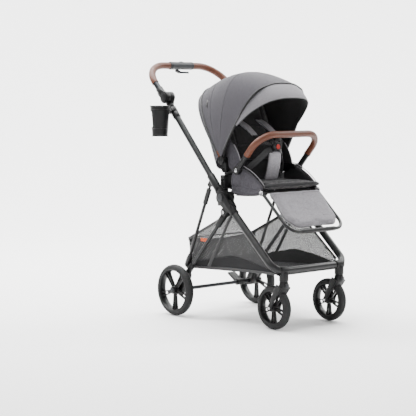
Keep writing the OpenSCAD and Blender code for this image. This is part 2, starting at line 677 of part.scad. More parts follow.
// ---- backrest ----
canopy_local = [(canopy_pivot - seat_hinge) * [cos(back_angle), sin(back_angle)],
                (canopy_pivot - seat_hinge) * [-sin(back_angle), cos(back_angle)]];
canopy_face = back_half + 8 + 5;
module back_frame() color(frame_black) {
    leaning(seat_hinge, back_angle) u_tube(back_half, 16, back_len, 60, back_tube_d, 1.5);
    both_sides() {
        leaning(seat_hinge, back_angle) difference() {
            union() {
                translate([seat_half + 1, 0, 0]) rotate([0, 90, 0]) cylinder(h = 16, r = 16);
                plate(seat_half + 5, back_half + 8.5) strap([0, 0], 14, canopy_local, 14);
            }
            translate([seat_half, 0, 0]) rotate([0, 90, 0]) cylinder(h = 40, d = back_pin_d + 2 * run);
            translate([back_half, 15.9, 0]) rotate([-90, 0, 0]) cylinder(h = 90, d = back_tube_d);
        }
        disc_x(back_half + 8, canopy_face - side_gap, canopy_pivot, 13);
        disc_x(canopy_face - side_gap, canopy_face + 8, canopy_pivot, 4);
    }
}
// right half of the back pad's outline, from the seat up
back_side = [[138, 16], [146, 52], [back_half, 72], [back_half, back_len - 62],
             [back_half - 22, back_len - 24], [back_half - 60, back_len - 4]];
back_pad_t = 30;
function on_back(u, off) = seat_hinge + u * [cos(back_angle), sin(back_angle)]
    + off * [-sin(back_angle), cos(back_angle)];
module back_pad() color("#4d4c50") leaning(seat_hinge, back_angle)
    translate([0, 0, back_tube_d / 2 + soft_gap]) linear_extrude(back_pad_t) polygon(
        [for (s = [1, -1]) each [for (p = s > 0 ? back_side : [for (i = [5:-1:0]) back_side[i]]) [s * p[0], p[1]]]]);
strap_face = back_tube_d / 2 + back_pad_t + 2 * soft_gap;
module shoulder_pads() color(fabric_light) both_sides() plate(40, 82)
    polygon([on_back(188, strap_face), on_back(171, strap_face), [230, 765], [225, 777]]);

// ---- canopy ----
function bow(a, t, r, w) = [w * sign(cos(t)) * pow(abs(cos(t)), canopy_power),
    canopy_pivot[0] + r * pow(sin(t), canopy_power) * cos(a),
    canopy_pivot[1] + r * pow(sin(t), canopy_power) * sin(a)];
bow_steps = [for (i = [0:24]) let (s = i / 12 - 1) 90 + 89.75 * sign(s) * (1 - pow(1 - abs(s), 2))];
function canopy_grid(k) = [for (i = [0:10]) let (a = canopy_rear + (canopy_front - canopy_rear) * i / 10)
    [for (t = bow_steps) bow(a, t, canopy_r - k * canopy_shell_t, canopy_half - k * canopy_shell_t)]];
module canopy_shell() color(fabric_grey) skin(canopy_grid(0), canopy_grid(1));
visor_steps = [for (i = [0:20]) visor_foot + (180 - 2 * visor_foot) * i / 20];
// degrees that the visor reaches past the front bow, at the bow's parameter t
function visor_reach(t) = 0.6 + visor_lean * pow(sin(180 * (t - visor_foot) / (180 - 2 * visor_foot)), 0.6);
function visor_grid(k) = [for (i = [0:3]) [for (t = visor_steps)
    bow(canopy_front + 0.15 + visor_reach(t) * i / 3, t,
        canopy_r - k * canopy_shell_t, canopy_half - k * canopy_shell_t)]];
module canopy_visor() color(fabric_grey) skin(visor_grid(0), visor_grid(1));
bow_d = 6;
function bow_ring(p, q) = let (v = (q - p) / norm(q - p), m = [0, cos(canopy_front), sin(canopy_front)],
    n = cross([0, -sin(canopy_front), cos(canopy_front)], v)) [for (j = [0:7])
    p + bow_d / 2 * (cos(45 * j) * [0, -sin(canopy_front), cos(canopy_front)] + sin(45 * j) * n)];
module canopy_bow() color("#29292b") {
    path = [for (t = bow_steps) bow(canopy_front, t, canopy_r - 7, canopy_half - 7)];
    last = len(path) - 1;
    rings = [for (i = [0:last]) bow_ring(path[i], i < last ? path[i + 1] : 2 * path[i] - path[i - 1])];
    polyhedron([for (r = rings, p = r) p], concat(
        [[for (j = [0:7]) 7 - j]], [[for (j = [0:7]) last * 8 + j]],
        [for (i = [0:last - 1], j = [0:7])
            [i * 8 + j, i * 8 + (j + 1) % 8, (i + 1) * 8 + (j + 1) % 8, (i + 1) * 8 + j]]));
    both_sides() difference() {
        plate(canopy_face, canopy_face + 9)
            strap(canopy_pivot, 14, canopy_pivot + 34 * [cos(canopy_front), sin(canopy_front)], 5);
        disc_x(canopy_face - 1, canopy_face + 8.5, canopy_pivot, 4 + run);
    }
}

// ---- bumper bar and footrest ----
module bumper_bar() color(plastic_black) {
    leaning(bumper_pivot, bumper_angle) difference() {
        union() {
            u_tube(bumper_half, 18, bumper_len, bumper_corner, bumper_tube_d, 2.5);
            both_sides() translate([bumper_half, boss_r + 1.2, 0]) rotate([-90, 0, 0])
                cylinder(h = 10, d = bumper_tube_d);
            both_sides() translate([bumper_face, 0, 0]) rotate([0, 90, 0]) cylinder(h = 16, r = boss_r + 4);
        }
        both_sides() translate([bumper_face - 1, 0, 0]) rotate([0, 90, 0]) cylinder(h = 16.5, r = 4 + run);
    }
}
module bumper_grip() color(leather_tan) leaning(bumper_pivot, bumper_angle) difference() {
    u_solid(bumper_half, bumper_grip_start, bumper_len, bumper_corner, bumper_grip_d);
    u_solid(bumper_half, bumper_grip_start - 1, bumper_len, bumper_corner, bumper_tube_d + 2 * run);
}
module footrest_frame() color("#5c5d5f") leaning(footrest_pivot, footrest_angle) {
    u_tube(footrest_half, 10, footrest_len, 50, footrest_tube_d, 1.5);
    both_sides() difference() {
        translate([seat_half + side_gap, 0, 0]) rotate([0, 90, 0]) cylinder(h = 14, r = 11.5);
        translate([seat_half, 0, 0]) rotate([0, 90, 0]) cylinder(h = 14, r = 4 + run);
        translate([footrest_half, 10, 0]) rotate([-90, 0, 0]) cylinder(h = 20, d = footrest_tube_d);
    }
}
// the pad lies on the upper side of the footrest's frame, which faces minus local Z
module footrest_pad() color(fabric_light) leaning(footrest_pivot, footrest_angle) intersection() {
    rotate([90, 0, 90]) translate([0, 0, -158]) linear_extrude(316) polygon([[24, -footrest_tube_d / 2 - soft_gap],
        [footrest_len - 9, -footrest_tube_d / 2 - soft_gap], [footrest_len - 7, -12], [footrest_len - 14, -16],
        [60, -29], [30, -34], [24, -30]]);
    translate([0, 0, -60]) linear_extrude(100) polygon([[-156, 20], [156, 20], [154, 110], [138, 176],
        [118, 202], [96, footrest_len - 4], [-96, footrest_len - 4], [-118, 202], [-138, 176], [-154, 110]]);
}

front_frame();
hub_housings();
caster_sockets();
seat_sockets();
basket_rim();
basket();
upper_tubes();
upper_knuckles();
tube_collars();
telescope_tubes();
pivot_barrels();
cup_clamp();
cup_holder();
handle_tube();
handle_hubs();
handle_grips();
handle_console();
fold_trigger();
fold_lock();
left_tilt_button();
right_tilt_button();
rear_leg_sleeves();
rear_legs();
rear_axles();
wheel_carriers();
left_link();
right_link();
brake_pedal();
rear_left_tyre();
rear_left_rim();
rear_right_tyre();
rear_right_rim();
front_left_tyre();
front_left_rim();
front_right_tyre();
front_right_rim();
left_fork();
left_pins();
left_swivel_lock();
right_fork();
right_pins();
right_swivel_lock();
seat_frame();
seat_pad();
side_wings();
crotch_pad();
buckle();
buckle_button();
left_seat_release();
right_seat_release();
back_frame();
back_pad();
shoulder_pads();
canopy_bow();
canopy_shell();
canopy_visor();
bumper_bar();
bumper_grip();
footrest_frame();
footrest_pad();
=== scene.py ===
"""Looks of a folding baby stroller, built around its packed CAD frame.

Every piece is placed from the frame's joints and boxes, in metres, with +X to the child's left,
+Y to the rear and +Z up. Sizes in the property groups are in millimetres.
"""
import json
import math

import bmesh
import bpy
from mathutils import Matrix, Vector, noise


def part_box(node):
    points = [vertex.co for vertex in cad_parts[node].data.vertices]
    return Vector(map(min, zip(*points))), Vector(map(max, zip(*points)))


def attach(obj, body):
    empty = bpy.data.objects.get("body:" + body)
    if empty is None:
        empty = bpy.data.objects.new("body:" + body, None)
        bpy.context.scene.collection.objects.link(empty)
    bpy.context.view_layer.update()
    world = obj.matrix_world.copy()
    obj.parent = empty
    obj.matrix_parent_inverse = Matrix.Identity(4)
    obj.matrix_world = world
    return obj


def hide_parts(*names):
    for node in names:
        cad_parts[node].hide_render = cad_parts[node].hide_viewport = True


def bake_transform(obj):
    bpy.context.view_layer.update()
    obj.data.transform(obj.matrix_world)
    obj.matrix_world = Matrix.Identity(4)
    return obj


bl_info = {
    "name": "Baby Stroller",
    "version": (1, 0, 0),
    "blender": (4, 5, 0),
    "location": "3D View > Sidebar > Stroller",
    "description": "Fabric, leather, wheels and trim of a folding baby stroller",
    "category": "Object",
}

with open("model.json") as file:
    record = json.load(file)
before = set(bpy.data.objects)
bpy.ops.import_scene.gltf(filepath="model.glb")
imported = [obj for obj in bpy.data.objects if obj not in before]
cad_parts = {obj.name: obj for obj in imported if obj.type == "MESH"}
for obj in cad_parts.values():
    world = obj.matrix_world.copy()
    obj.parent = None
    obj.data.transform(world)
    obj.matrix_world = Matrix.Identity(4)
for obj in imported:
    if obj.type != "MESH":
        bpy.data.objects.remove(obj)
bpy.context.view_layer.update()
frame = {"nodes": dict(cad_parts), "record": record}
JOINTS = {j["name"]: j for j in frame["record"]["behaviour"]["joints"]}
BODY_OF = {n: b for b, nodes in frame["record"]["behaviour"]["bodies"].items() for n in nodes}
SLOT_OF = {s["node"]: s["material_slot"] for s in frame["record"]["subparts"]}
MM = 0.001
SIDES = (("left", 1), ("right", -1))


# ---------------------------------------------------------------- places in the frame

def pivot(joint):
    """The point that a hinge turns about."""
    return Vector(JOINTS[joint]["pos_m"])


def mm(x, y, z):
    """A vector whose parts are given in millimetres."""
    return Vector((x * MM, y * MM, z * MM))


def node_box(node):
    """Lowest and highest corner of a CAD node."""
    low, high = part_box(node)
    return Vector(low), Vector(high)


class Lean:
    """A local frame in the side plane: s runs along the lean, off stands square to it."""

    def __init__(self, origin, degrees):
        self.origin = Vector((0, origin[1], origin[2]))
        turn = math.radians(degrees)
        self.along = Vector((0, math.cos(turn), math.sin(turn)))
        self.out = Vector((0, -math.sin(turn), math.cos(turn)))

    def at(self, x, s, off=0.0):
        """World point of millimetres x, s, off."""
        return self.origin + mm(x, 0, 0) + self.along * s * MM + self.out * off * MM


HUB = pivot("fold")
LEG_PIVOT = pivot("rear_leg_fold")
SEAT_HINGE = pivot("recline")
HOOD_PIVOT = pivot("canopy_fold")
BUMPER_PIVOT = pivot("bumper_swing")
FOOT_PIVOT = pivot("footrest_tilt")
HANDLE_PIVOT = pivot("handle_tilt")
REAR_AXLE = pivot("rear_left_spin")
FRONT_AXLE = pivot("front_left_spin")
STEM = pivot("left_swivel")
SEAT_TOP = node_box("seat_pad")[1].z
HOOD_HALF = node_box("canopy_shell")[1].x
HOOD_R = node_box("canopy_shell")[1].z - HOOD_PIVOT.z


# ---------------------------------------------------------------- sizes and colours

def length(name, value, low=0.1, high=2000.0, words=""):
    return bpy.props.FloatProperty(name=name, default=value, min=low, max=high, description=words or name)


def colour(name, rgb):
    linear = [(c / 255 / 12.92) if c < 11 else (((c / 255) + 0.055) / 1.055) ** 2.4 for c in rgb]
    return bpy.props.FloatVectorProperty(name=name, subtype="COLOR", size=3, min=0, max=1,
                                         default=linear, description=name + " colour")


class StrollerHood(bpy.types.PropertyGroup):
    rear_angle: length("Rear edge (degrees)", 51, 40, 80, "Angle of the hood's rear edge about its pivot")
    front_angle: length("Front bow (degrees)", 120, 100, 140, "Angle of the front bow about its pivot")
    middle_angle: length("Middle bow (degrees)", 90, 75, 105, "Angle of the sewn seam over the middle bow")
    piping: length("Piping", 6.0, 2, 9, "Thickness of the black piping, in millimetres")
    rear_strip: length("Rear strip (degrees)", 5.0, 1, 8, "Width of the strip behind the rear piping")
    visor_reach: length("Visor reach (degrees)", 13, 5, 20, "How far the sun visor reaches past the bow")
    sag: length("Sag", 5.0, 0, 15, "How far the cloth sags between the bows, in millimetres")


class StrollerSeat(bpy.types.PropertyGroup):
    back_angle: length("Back lean (degrees)", 67, 40, 90, "Lean of the backrest from level")
    back_length: length("Back length", 330, 200, 400, "Length of the backrest, in millimetres")
    back_half: length("Half width", 150, 100, 200, "Half width of the backrest pad, in millimetres")
    cushion: length("Cushion", 31, 15, 60, "Thickness of the seat cushion, in millimetres")
    swell: length("Swell", 7, 2, 16, "Most that a pad may swell, in millimetres")
    webbing: length("Webbing", 25, 15, 40, "Width of the harness straps, in millimetres")
    footrest_angle: length("Footrest (degrees)", 222, 180, 270, "Direction of the footrest from its pivot")
    footrest_length: length("Footrest length", 219, 150, 260, "Length of the footrest, in millimetres")


class StrollerWheels(bpy.types.PropertyGroup):
    spokes: bpy.props.IntProperty(name="Spokes", default=5, min=3, max=9,
                                  description="Double spokes of each rim")
    tyre_width: length("Tyre width", 36, 20, 60, "Width of the tyres, in millimetres")
    tread: bpy.props.IntProperty(name="Tread blocks", default=60, min=20, max=120,
                                 description="Grooves round a tyre")


class StrollerColours(bpy.types.PropertyGroup):
    grey_cloth: colour("Hood cloth", (56, 54, 59))
    light_cloth: colour("Light cloth", (122, 120, 124))
    lining: colour("Lining", (26, 25, 27))
    net: colour("Basket net", (20, 20, 21))
    leather: colour("Leather", (88, 44, 23))
    frame_paint: colour("Frame paint", (12, 12, 13))
    plastic: colour("Black plastic", (11, 11, 12))
    grey_plastic: colour("Grey plastic", (46, 47, 49))
    tube: colour("Bare tube", (52, 53, 55))
    rubber: colour("Tyre rubber", (22, 22, 23))


# ---------------------------------------------------------------- mesh making

def add_object(name, mesh):
    obj = bpy.data.objects.new(name, mesh)
    bpy.context.scene.collection.objects.link(obj)
    return obj


def shade(obj, angle=40.0):
    """Smooth shading that stays crisp at edges sharper than the angle."""
    mesh = obj.data
    mesh.shade_smooth()
    mesh.set_sharp_from_angle(angle=math.radians(angle))


def from_bmesh(name, bm):
    bmesh.ops.recalc_face_normals(bm, faces=bm.faces)
    mesh = bpy.data.meshes.new(name)
    bm.to_mesh(mesh)
    bm.free()
    return add_object(name, mesh)


def settle(obj):
    """Applies an object's modifiers, so that its mesh is final."""
    graph = bpy.context.evaluated_depsgraph_get()
    mesh = bpy.data.meshes.new_from_object(obj.evaluated_get(graph))
    obj.modifiers.clear()
    old = obj.data
    obj.data = mesh
    bpy.data.meshes.remove(old)
    return obj


def modify(obj, kind, **settings):
    modifier = obj.modifiers.new(kind.title(), kind)
    for key, value in settings.items():
        setattr(modifier, key, value)
    return modifier


def finish_piece(obj, finish, body=None, replaces=(), angle=40.0):
    """Settles the mesh and gives the piece its finish, its body and the slot that goes with the finish."""
    settle(obj)
    shade(obj, angle)
    obj.data.materials.clear()
    obj.data.materials.append(material(finish))
    if body:
        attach(obj, body)
    if replaces:
        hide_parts(*replaces)
    return obj


def bevel_edges(obj, width, segments, limit=30):
    """Breaks every edge that is sharper than the limit; the width is in millimetres."""
    return modify(obj, "BEVEL", width=width * MM, segments=segments, limit_method="ANGLE",
                  angle_limit=math.radians(limit), use_clamp_overlap=True)


def weld(obj, recalculate=False):
    """Merges the points that lie on one another."""
    bm = bmesh.new()
    bm.from_mesh(obj.data)
    bmesh.ops.remove_doubles(bm, verts=bm.verts, dist=1e-6)
    if recalculate:
        bmesh.ops.recalc_face_normals(bm, faces=bm.faces)
    bm.to_mesh(obj.data)
    bm.free()
    return obj


def join(name, pieces):
    """Joins several meshes into one object, with every mesh settled first."""
    bm = bmesh.new()
    for piece in pieces:
        settle(piece)
        piece.data.transform(piece.matrix_world)
        bm.from_mesh(piece.data)
        old = piece.data
        bpy.data.objects.remove(piece)
        bpy.data.meshes.remove(old)
    mesh = bpy.data.meshes.new(name)
    bm.to_mesh(mesh)
    bm.free()
    return add_object(name, mesh)


def loft(name, rings, closed_ring=True, caps=True):
    """Skins a list of rings that have equal numbers of points."""
    bm = bmesh.new()
    rows = [[bm.verts.new(p) for p in ring] for ring in rings]
    count = len(rings[0])
    last = count if closed_ring else count - 1
    for a, b in zip(rows, rows[1:]):
        for i in range(last):
            j = (i + 1) % count
            bm.faces.new((a[i], a[j], b[j], b[i]))
    if caps and closed_ring:
        bm.faces.new(list(reversed(rows[0])))
        bm.faces.new(rows[-1])
    return from_bmesh(name, bm)


def sweep(name, path, radius, sides=16, flat=None, up=None, closed=False):
    """A round bar, or a flat band where flat gives (width, thickness), along a path of points."""
    points = [Vector(p) for p in path]
    count = len(points)
    tangents = []
    for i in range(count):
        a = points[(i - 1) % count] if closed or i else points[0]
        b = points[(i + 1) % count] if closed or i < count - 1 else points[-1]
        tangents.append((b - a).normalized())
    normal = Vector(up) if up else tangents[0].orthogonal()
    rings = []
    for i, (p, t) in enumerate(zip(points, tangents)):
        if up:
            normal = Vector(up)
        normal = (normal - t * normal.dot(t)).normalized()
        side = t.cross(normal)
        if flat:
            w, h = flat[0] / 2, flat[1] / 2
            corners = ((-w, -h * 0.4), (-w, h * 0.4), (-w * 0.94, h), (w * 0.94, h),
                       (w, h * 0.4), (w, -h * 0.4), (w * 0.94, -h), (-w * 0.94, -h))
            rings.append([p + side * x + normal * y for x, y in corners])
        else:
            r = radius(i / max(1, count - 1)) if callable(radius) else radius
            rings.append([p + r * (math.cos(a) * normal + math.sin(a) * side)
                          for a in (math.tau * k / sides for k in range(sides))])
    if closed:
        rings.append(rings[0])
        return weld(loft(name, rings, caps=False))
    return loft(name, rings)


def smooth_path(points, steps=8):
    """A Catmull-Rom curve through the points."""
    pts = [Vector(p) for p in points]
    pts = [2 * pts[0] - pts[1]] + pts + [2 * pts[-1] - pts[-2]]
    out = []
    for a, b, c, d in zip(pts, pts[1:], pts[2:], pts[3:]):
        for i in range(steps):
            t = i / steps
            out.append(0.5 * (2 * b + (c - a) * t + (2 * a - 5 * b + 4 * c - d) * t * t
                              + (3 * b - a - 3 * c + d) * t ** 3))
    return out + [pts[-2]]


def resample(points, count, closed=False):
    """The same path with points at equal distances."""
    pts = [Vector(p) for p in points] + ([Vector(points[0])] if closed else [])
    lengths = [0.0]
    for a, b in zip(pts, pts[1:]):
        lengths.append(lengths[-1] + (b - a).length)
    out, k = [], 0
    for i in range(count):
        want = lengths[-1] * i / (count if closed else count - 1)
        while k < len(pts) - 2 and lengths[k + 1] < want:
            k += 1
        span = lengths[k + 1] - lengths[k]
        out.append(pts[k].lerp(pts[k + 1], (want - lengths[k]) / span if span else 0))
    return out


def even_outline(outline, count):
    """A closed flat outline with its points at equal distances."""
    return [(p.x, p.y) for p in resample([Vector((u, v, 0)) for u, v in outline], count, True)]


def rounded_outline(corners, radius, steps=6):
    """A closed outline with every corner rounded; radius may be one number or one per corner."""
    out = []
    count = len(corners)
    for i, corner in enumerate(corners):
        c = Vector(corner)
        a = (Vector(corners[i - 1]) - c)
        b = (Vector(corners[(i + 1) % count]) - c)
        r = radius[i] if isinstance(radius, (list, tuple)) else radius
        half = a.angle(b) / 2
        cut = min(r / math.tan(half), a.length * 0.49, b.length * 0.49)
        start, stop = c + a.normalized() * cut, c + b.normalized() * cut
        for k in range(steps + 1):
            t = k / steps
            out.append((start * (1 - t) ** 2 + c * 2 * t * (1 - t) + stop * t * t)[:])
    return out


def plate(name, outline, place, low, high, bevel=1.0, segments=3):
    """A flat outline pulled from x = low to x = high; place turns (x, u, v) into a point."""
    bm = bmesh.new()
    a = [bm.verts.new(place(low, *p)) for p in outline]
    b = [bm.verts.new(place(high, *p)) for p in outline]
    count = len(outline)
    for i in range(count):
        j = (i + 1) % count
        bm.faces.new((a[i], a[j], b[j], b[i]))
    bm.faces.new(list(reversed(a)))
    bm.faces.new(b)
    obj = from_bmesh(name, bm)
    if bevel:
        bevel_edges(obj, bevel, segments, 40)
    return obj


def turned(name, profile, centre, segments=96, axis="X"):
    """A lathe piece: the profile's points are (along the axis, radius) in millimetres."""
    rings = []
    for along, radius in profile:
        ring = []
        for k in range(segments):
            a = math.tau * k / segments
            c, s = radius * MM * math.cos(a), radius * MM * math.sin(a)
            offset = {"X": (along * MM, c, s), "Y": (s, along * MM, c), "Z": (c, s, along * MM)}[axis]
            ring.append(Vector(centre) + Vector(offset))
        rings.append(ring)
    closed = (Vector(profile[0]) - Vector(profile[-1])).length < 1e-6
    if closed:
        rings[-1] = rings[0]
    return weld(loft(name, rings, caps=not closed), recalculate=True)


def sheet(name, point, columns, rows, thickness=0.0):
    """A curved sheet: point(u, v) for u and v from 0 to 1, with its real size as UV."""
    bm = bmesh.new()
    uv = bm.loops.layers.uv.new("UVMap")
    grid = [[bm.verts.new(point(i / columns, j / rows)) for i in range(columns + 1)] for j in range(rows + 1)]
    across = [0.0]
    for i in range(columns):
        across.append(across[-1] + (grid[rows // 2][i + 1].co - grid[rows // 2][i].co).length)
    down = [0.0]
    for j in range(rows):
        down.append(down[-1] + (grid[j + 1][columns // 2].co - grid[j][columns // 2].co).length)
    for j in range(rows):
        for i in range(columns):
            face = bm.faces.new((grid[j][i], grid[j][i + 1], grid[j + 1][i + 1], grid[j + 1][i]))
            for loop, (a, b) in zip(face.loops, ((i, j), (i + 1, j), (i + 1, j + 1), (i, j + 1))):
                loop[uv].uv = (across[a], down[b])
    sum(face.calc_area() for face in bm.faces)
    obj = from_bmesh(name, bm)
    if thickness:
        modify(obj, "SOLIDIFY", thickness=thickness * MM, offset=0.0)
    return obj


def rounded_copy(node, width=0.8, segments=2, flat_angle=1.0):
    """A CAD node with its edges broken, as a moulding has."""
    mesh = frame["nodes"][node].data.copy()
    bm = bmesh.new()
    bm.from_mesh(mesh)
    bmesh.ops.remove_doubles(bm, verts=bm.verts, dist=2e-6)
    bmesh.ops.dissolve_limit(bm, angle_limit=math.radians(flat_angle), verts=bm.verts, edges=bm.edges)
    bm.to_mesh(mesh)
    bm.free()
    obj = add_object(node + "_moulding", mesh)
    bevel_edges(obj, width, segments, 35)
    return obj


# ---------------------------------------------------------------- shader node groups

def fill_inputs(tree, node, inputs):
    """Gives a node its inputs; each value is a number, a colour or a socket to link from."""
    for key, value in inputs.items():
        if isinstance(value, bpy.types.NodeSocket):
            tree.links.new(value, node.inputs[key])
        else:
            node.inputs[key].default_value = value
    return node


def add_node(tree, kind, inputs=None, **settings):
    node = tree.nodes.new(kind)
    for key, value in settings.items():
        setattr(node, key, value)
    return fill_inputs(tree, node, inputs or {})


def math_node(tree, operation, a, b=0.0, clamp=False):
    return add_node(tree, "ShaderNodeMath", {0: a, 1: b}, operation=operation, use_clamp=clamp).outputs[0]


def blend_values(tree, factor, a, b):
    """a where the factor is 0, b where it is 1."""
    return add_node(tree, "ShaderNodeMix", {0: factor, 2: a, 3: b}, data_type="FLOAT").outputs[0]


def blend_colours(tree, factor, a, b, mode="MIX"):
    node = add_node(tree, "ShaderNodeMix", {0: factor, 6: a, 7: b}, data_type="RGBA", blend_type=mode)
    return node.outputs[2]


def noise_at(tree, vector, scale, detail=2.0, roughness=0.5):
    return add_node(tree, "ShaderNodeTexNoise",
                    {"Vector": vector, "Scale": scale, "Detail": detail, "Roughness": roughness}).outputs[0]


def start_group(name, inputs, outputs):
    tree = bpy.data.node_groups.new(name, "ShaderNodeTree")
    for label, kind, default in inputs:
        item = tree.interface.new_socket(label, in_out="INPUT", socket_type="NodeSocket" + kind)
        if default is not None:
            item.default_value = default
    for label in outputs:
        tree.interface.new_socket(label, in_out="OUTPUT", socket_type="NodeSocketFloat")
    return tree, tree.nodes.new("NodeGroupInput").outputs, tree.nodes.new("NodeGroupOutput").inputs


def weave_group():
    """A plain weave in the vector's X and Y: thread height, and the mask of the warp threads."""
    tree, given, out = start_group("Plain Weave", (("Vector", "Vector", None), ("Thread", "Float", 0.0009)),
                                   ("Height", "Warp"))
    parts = add_node(tree, "ShaderNodeSeparateXYZ", {0: given["Vector"]}).outputs
    x = math_node(tree, "DIVIDE", parts[0], given["Thread"])
    y = math_node(tree, "DIVIDE", parts[1], given["Thread"])
    warp = math_node(tree, "ABSOLUTE", math_node(tree, "SINE", math_node(tree, "MULTIPLY", x, math.pi)))
    weft = math_node(tree, "ABSOLUTE", math_node(tree, "SINE", math_node(tree, "MULTIPLY", y, math.pi)))
    cells = math_node(tree, "ADD", math_node(tree, "FLOOR", x), math_node(tree, "FLOOR", y))
    over = math_node(tree, "PINGPONG", cells, 1.0)
    tree.links.new(blend_values(tree, over, weft, warp), out["Height"])
    tree.links.new(over, out["Warp"])
    return tree


def melange_group():
    """Flecks of lighter and darker yarn that run along X and Y, and a slow change of tone."""
    tree, given, out = start_group("Melange Yarn", (("Vector", "Vector", None), ("Fleck", "Float", 900.0)),
                                   ("Flecks", "Tone"))
    along = add_node(tree, "ShaderNodeMapping", {0: given["Vector"], 3: (1.0, 0.09, 0.5)}).outputs[0]
    cross = add_node(tree, "ShaderNodeMapping", {0: given["Vector"], 3: (0.09, 1.0, 0.5)}).outputs[0]
    one = noise_at(tree, along, given["Fleck"], 1.0)
    two = noise_at(tree, cross, given["Fleck"], 1.0)
    both = math_node(tree, "SUBTRACT", math_node(tree, "ADD", one, two), 0.7)
    flecks = math_node(tree, "MULTIPLY", both, 1.7, True)
    tree.links.new(flecks, out["Flecks"])
    tree.links.new(noise_at(tree, given["Vector"], 14.0, 3.0), out["Tone"])
    return tree


def grain_group():
    """The fine etched texture of a moulding: height, and slow patches of gloss."""
    tree, given, out = start_group("Moulded Grain", (("Vector", "Vector", None), ("Scale", "Float", 1600.0)),
                                   ("Height", "Patches"))
    fine = noise_at(tree, given["Vector"], given["Scale"], 3.0, 0.6)
    tree.links.new(fine, out["Height"])
    tree.links.new(noise_at(tree, given["Vector"], 30.0, 3.0), out["Patches"])
    return tree


def wear_group():
    """Rubbed edges and light dust: edges from the surface's bend, dust on faces that look up."""
    tree, given, out = start_group("Wear and Dust", (("Vector", "Vector", None), ("Edges", "Float", 0.5),
                                                     ("Dust", "Float", 0.3)), ("Edge", "Dust"))
    geometry = add_node(tree, "ShaderNodeNewGeometry").outputs
    bend = add_node(tree, "ShaderNodeMapRange", {0: geometry["Pointiness"], 1: 0.53, 2: 0.62}).outputs[0]
    patchy = add_node(tree, "ShaderNodeMapRange",
                      {0: noise_at(tree, given["Vector"], 120.0, 4.0), 1: 0.4, 2: 0.62})
    edge = math_node(tree, "MULTIPLY", math_node(tree, "MULTIPLY", bend, patchy.outputs[0]), given["Edges"])
    up = add_node(tree, "ShaderNodeSeparateXYZ", {0: geometry["Normal"]}).outputs[2]
    up = math_node(tree, "MAXIMUM", up, 0.0)
    spots = add_node(tree, "ShaderNodeMapRange",
                     {0: noise_at(tree, given["Vector"], 60.0, 6.0, 0.7), 1: 0.45, 2: 0.8})
    dust = math_node(tree, "MULTIPLY", math_node(tree, "MULTIPLY", up, spots.outputs[0]), given["Dust"])
    tree.links.new(edge, out["Edge"])
    tree.links.new(dust, out["Dust"])
    return tree


def leather_group():
    """Pebbled leather: cell height, and the creases between the cells."""
    tree, given, out = start_group("Leather Grain", (("Vector", "Vector", None), ("Scale", "Float", 900.0)),
                                   ("Height", "Crease"))
    bent = add_node(tree, "ShaderNodeVectorMath", {0: given["Vector"], 1: add_node(
        tree, "ShaderNodeVectorMath", {0: add_node(tree, "ShaderNodeTexNoise", {
            "Vector": given["Vector"], "Scale": 300.0}).outputs["Color"], "Scale": 0.0016},
        operation="SCALE").outputs[0]}, operation="ADD").outputs[0]
    cells = add_node(tree, "ShaderNodeTexVoronoi", {"Vector": bent, "Scale": given["Scale"]},
                     feature="DISTANCE_TO_EDGE").outputs[0]
    crease = add_node(tree, "ShaderNodeMapRange", {0: cells, 1: 0.0, 2: 0.18, 3: 1.0, 4: 0.0}).outputs[0]
    fine = noise_at(tree, given["Vector"], 2400.0, 2.0)
    height = math_node(tree, "ADD", math_node(tree, "MINIMUM", cells, 0.25),
                       math_node(tree, "MULTIPLY", fine, 0.1))
    tree.links.new(height, out["Height"])
    tree.links.new(crease, out["Crease"])
    return tree


def net_group():
    """An open knitted net: 1 on the yarn and 0 in the holes."""
    tree, given, out = start_group("Knitted Net", (("Vector", "Vector", None), ("Pitch", "Float", 0.0021)),
                                   ("Yarn", "Height"))
    parts = add_node(tree, "ShaderNodeSeparateXYZ", {0: given["Vector"]}).outputs
    x = math_node(tree, "MULTIPLY", math_node(tree, "DIVIDE", parts[0], given["Pitch"]), math.pi)
    y = math_node(tree, "MULTIPLY", math_node(tree, "DIVIDE", parts[1], given["Pitch"]), math.pi)
    hole = math_node(tree, "ABSOLUTE", math_node(tree, "MULTIPLY", math_node(tree, "SINE", x),
                                                 math_node(tree, "SINE", y)))
    yarn = add_node(tree, "ShaderNodeMapRange", {0: hole, 1: 0.84, 2: 0.92, 3: 1.0, 4: 0.0}).outputs[0]
    tree.links.new(yarn, out["Yarn"])
    tree.links.new(math_node(tree, "SUBTRACT", 1.0, hole), out["Height"])
    return tree


GROUPS = {}


def use_group(tree, name, **inputs):
    """Places a shared effect, which is built the first time it is asked for."""
    makers = {"weave": weave_group, "melange": melange_group, "grain": grain_group, "wear": wear_group,
              "leather": leather_group, "net": net_group}
    if name not in GROUPS:
        GROUPS[name] = makers[name]()
    node = tree.nodes.new("ShaderNodeGroup")
    node.node_tree = GROUPS[name]
    return fill_inputs(tree, node, inputs).outputs


# ---------------------------------------------------------------- materials

def new_material(name, roughness=0.5, **shader):
    """A material with its Principled shader; constants go straight on the shader's own sockets."""
    material = bpy.data.materials.new(name)
    material.use_nodes = True
    tree = material.node_tree
    bsdf = tree.nodes["Principled BSDF"]
    bsdf.inputs["Roughness"].default_value = roughness
    for key, value in shader.items():
        bsdf.inputs[key.replace("_", " ")].default_value = value
    return material, tree, bsdf


def set_bump(tree, bsdf, height, distance, strength=1.0):
    bump = add_node(tree, "ShaderNodeBump", {"Height": height, "Distance": distance, "Strength": strength})
    tree.links.new(bump.outputs[0], bsdf.inputs["Normal"])


def shade_of(rgb, factor):
    return (rgb[0] * factor, rgb[1] * factor, rgb[2] * factor, 1.0)


def object_coords(tree):
    return add_node(tree, "ShaderNodeTexCoord").outputs["Object"]


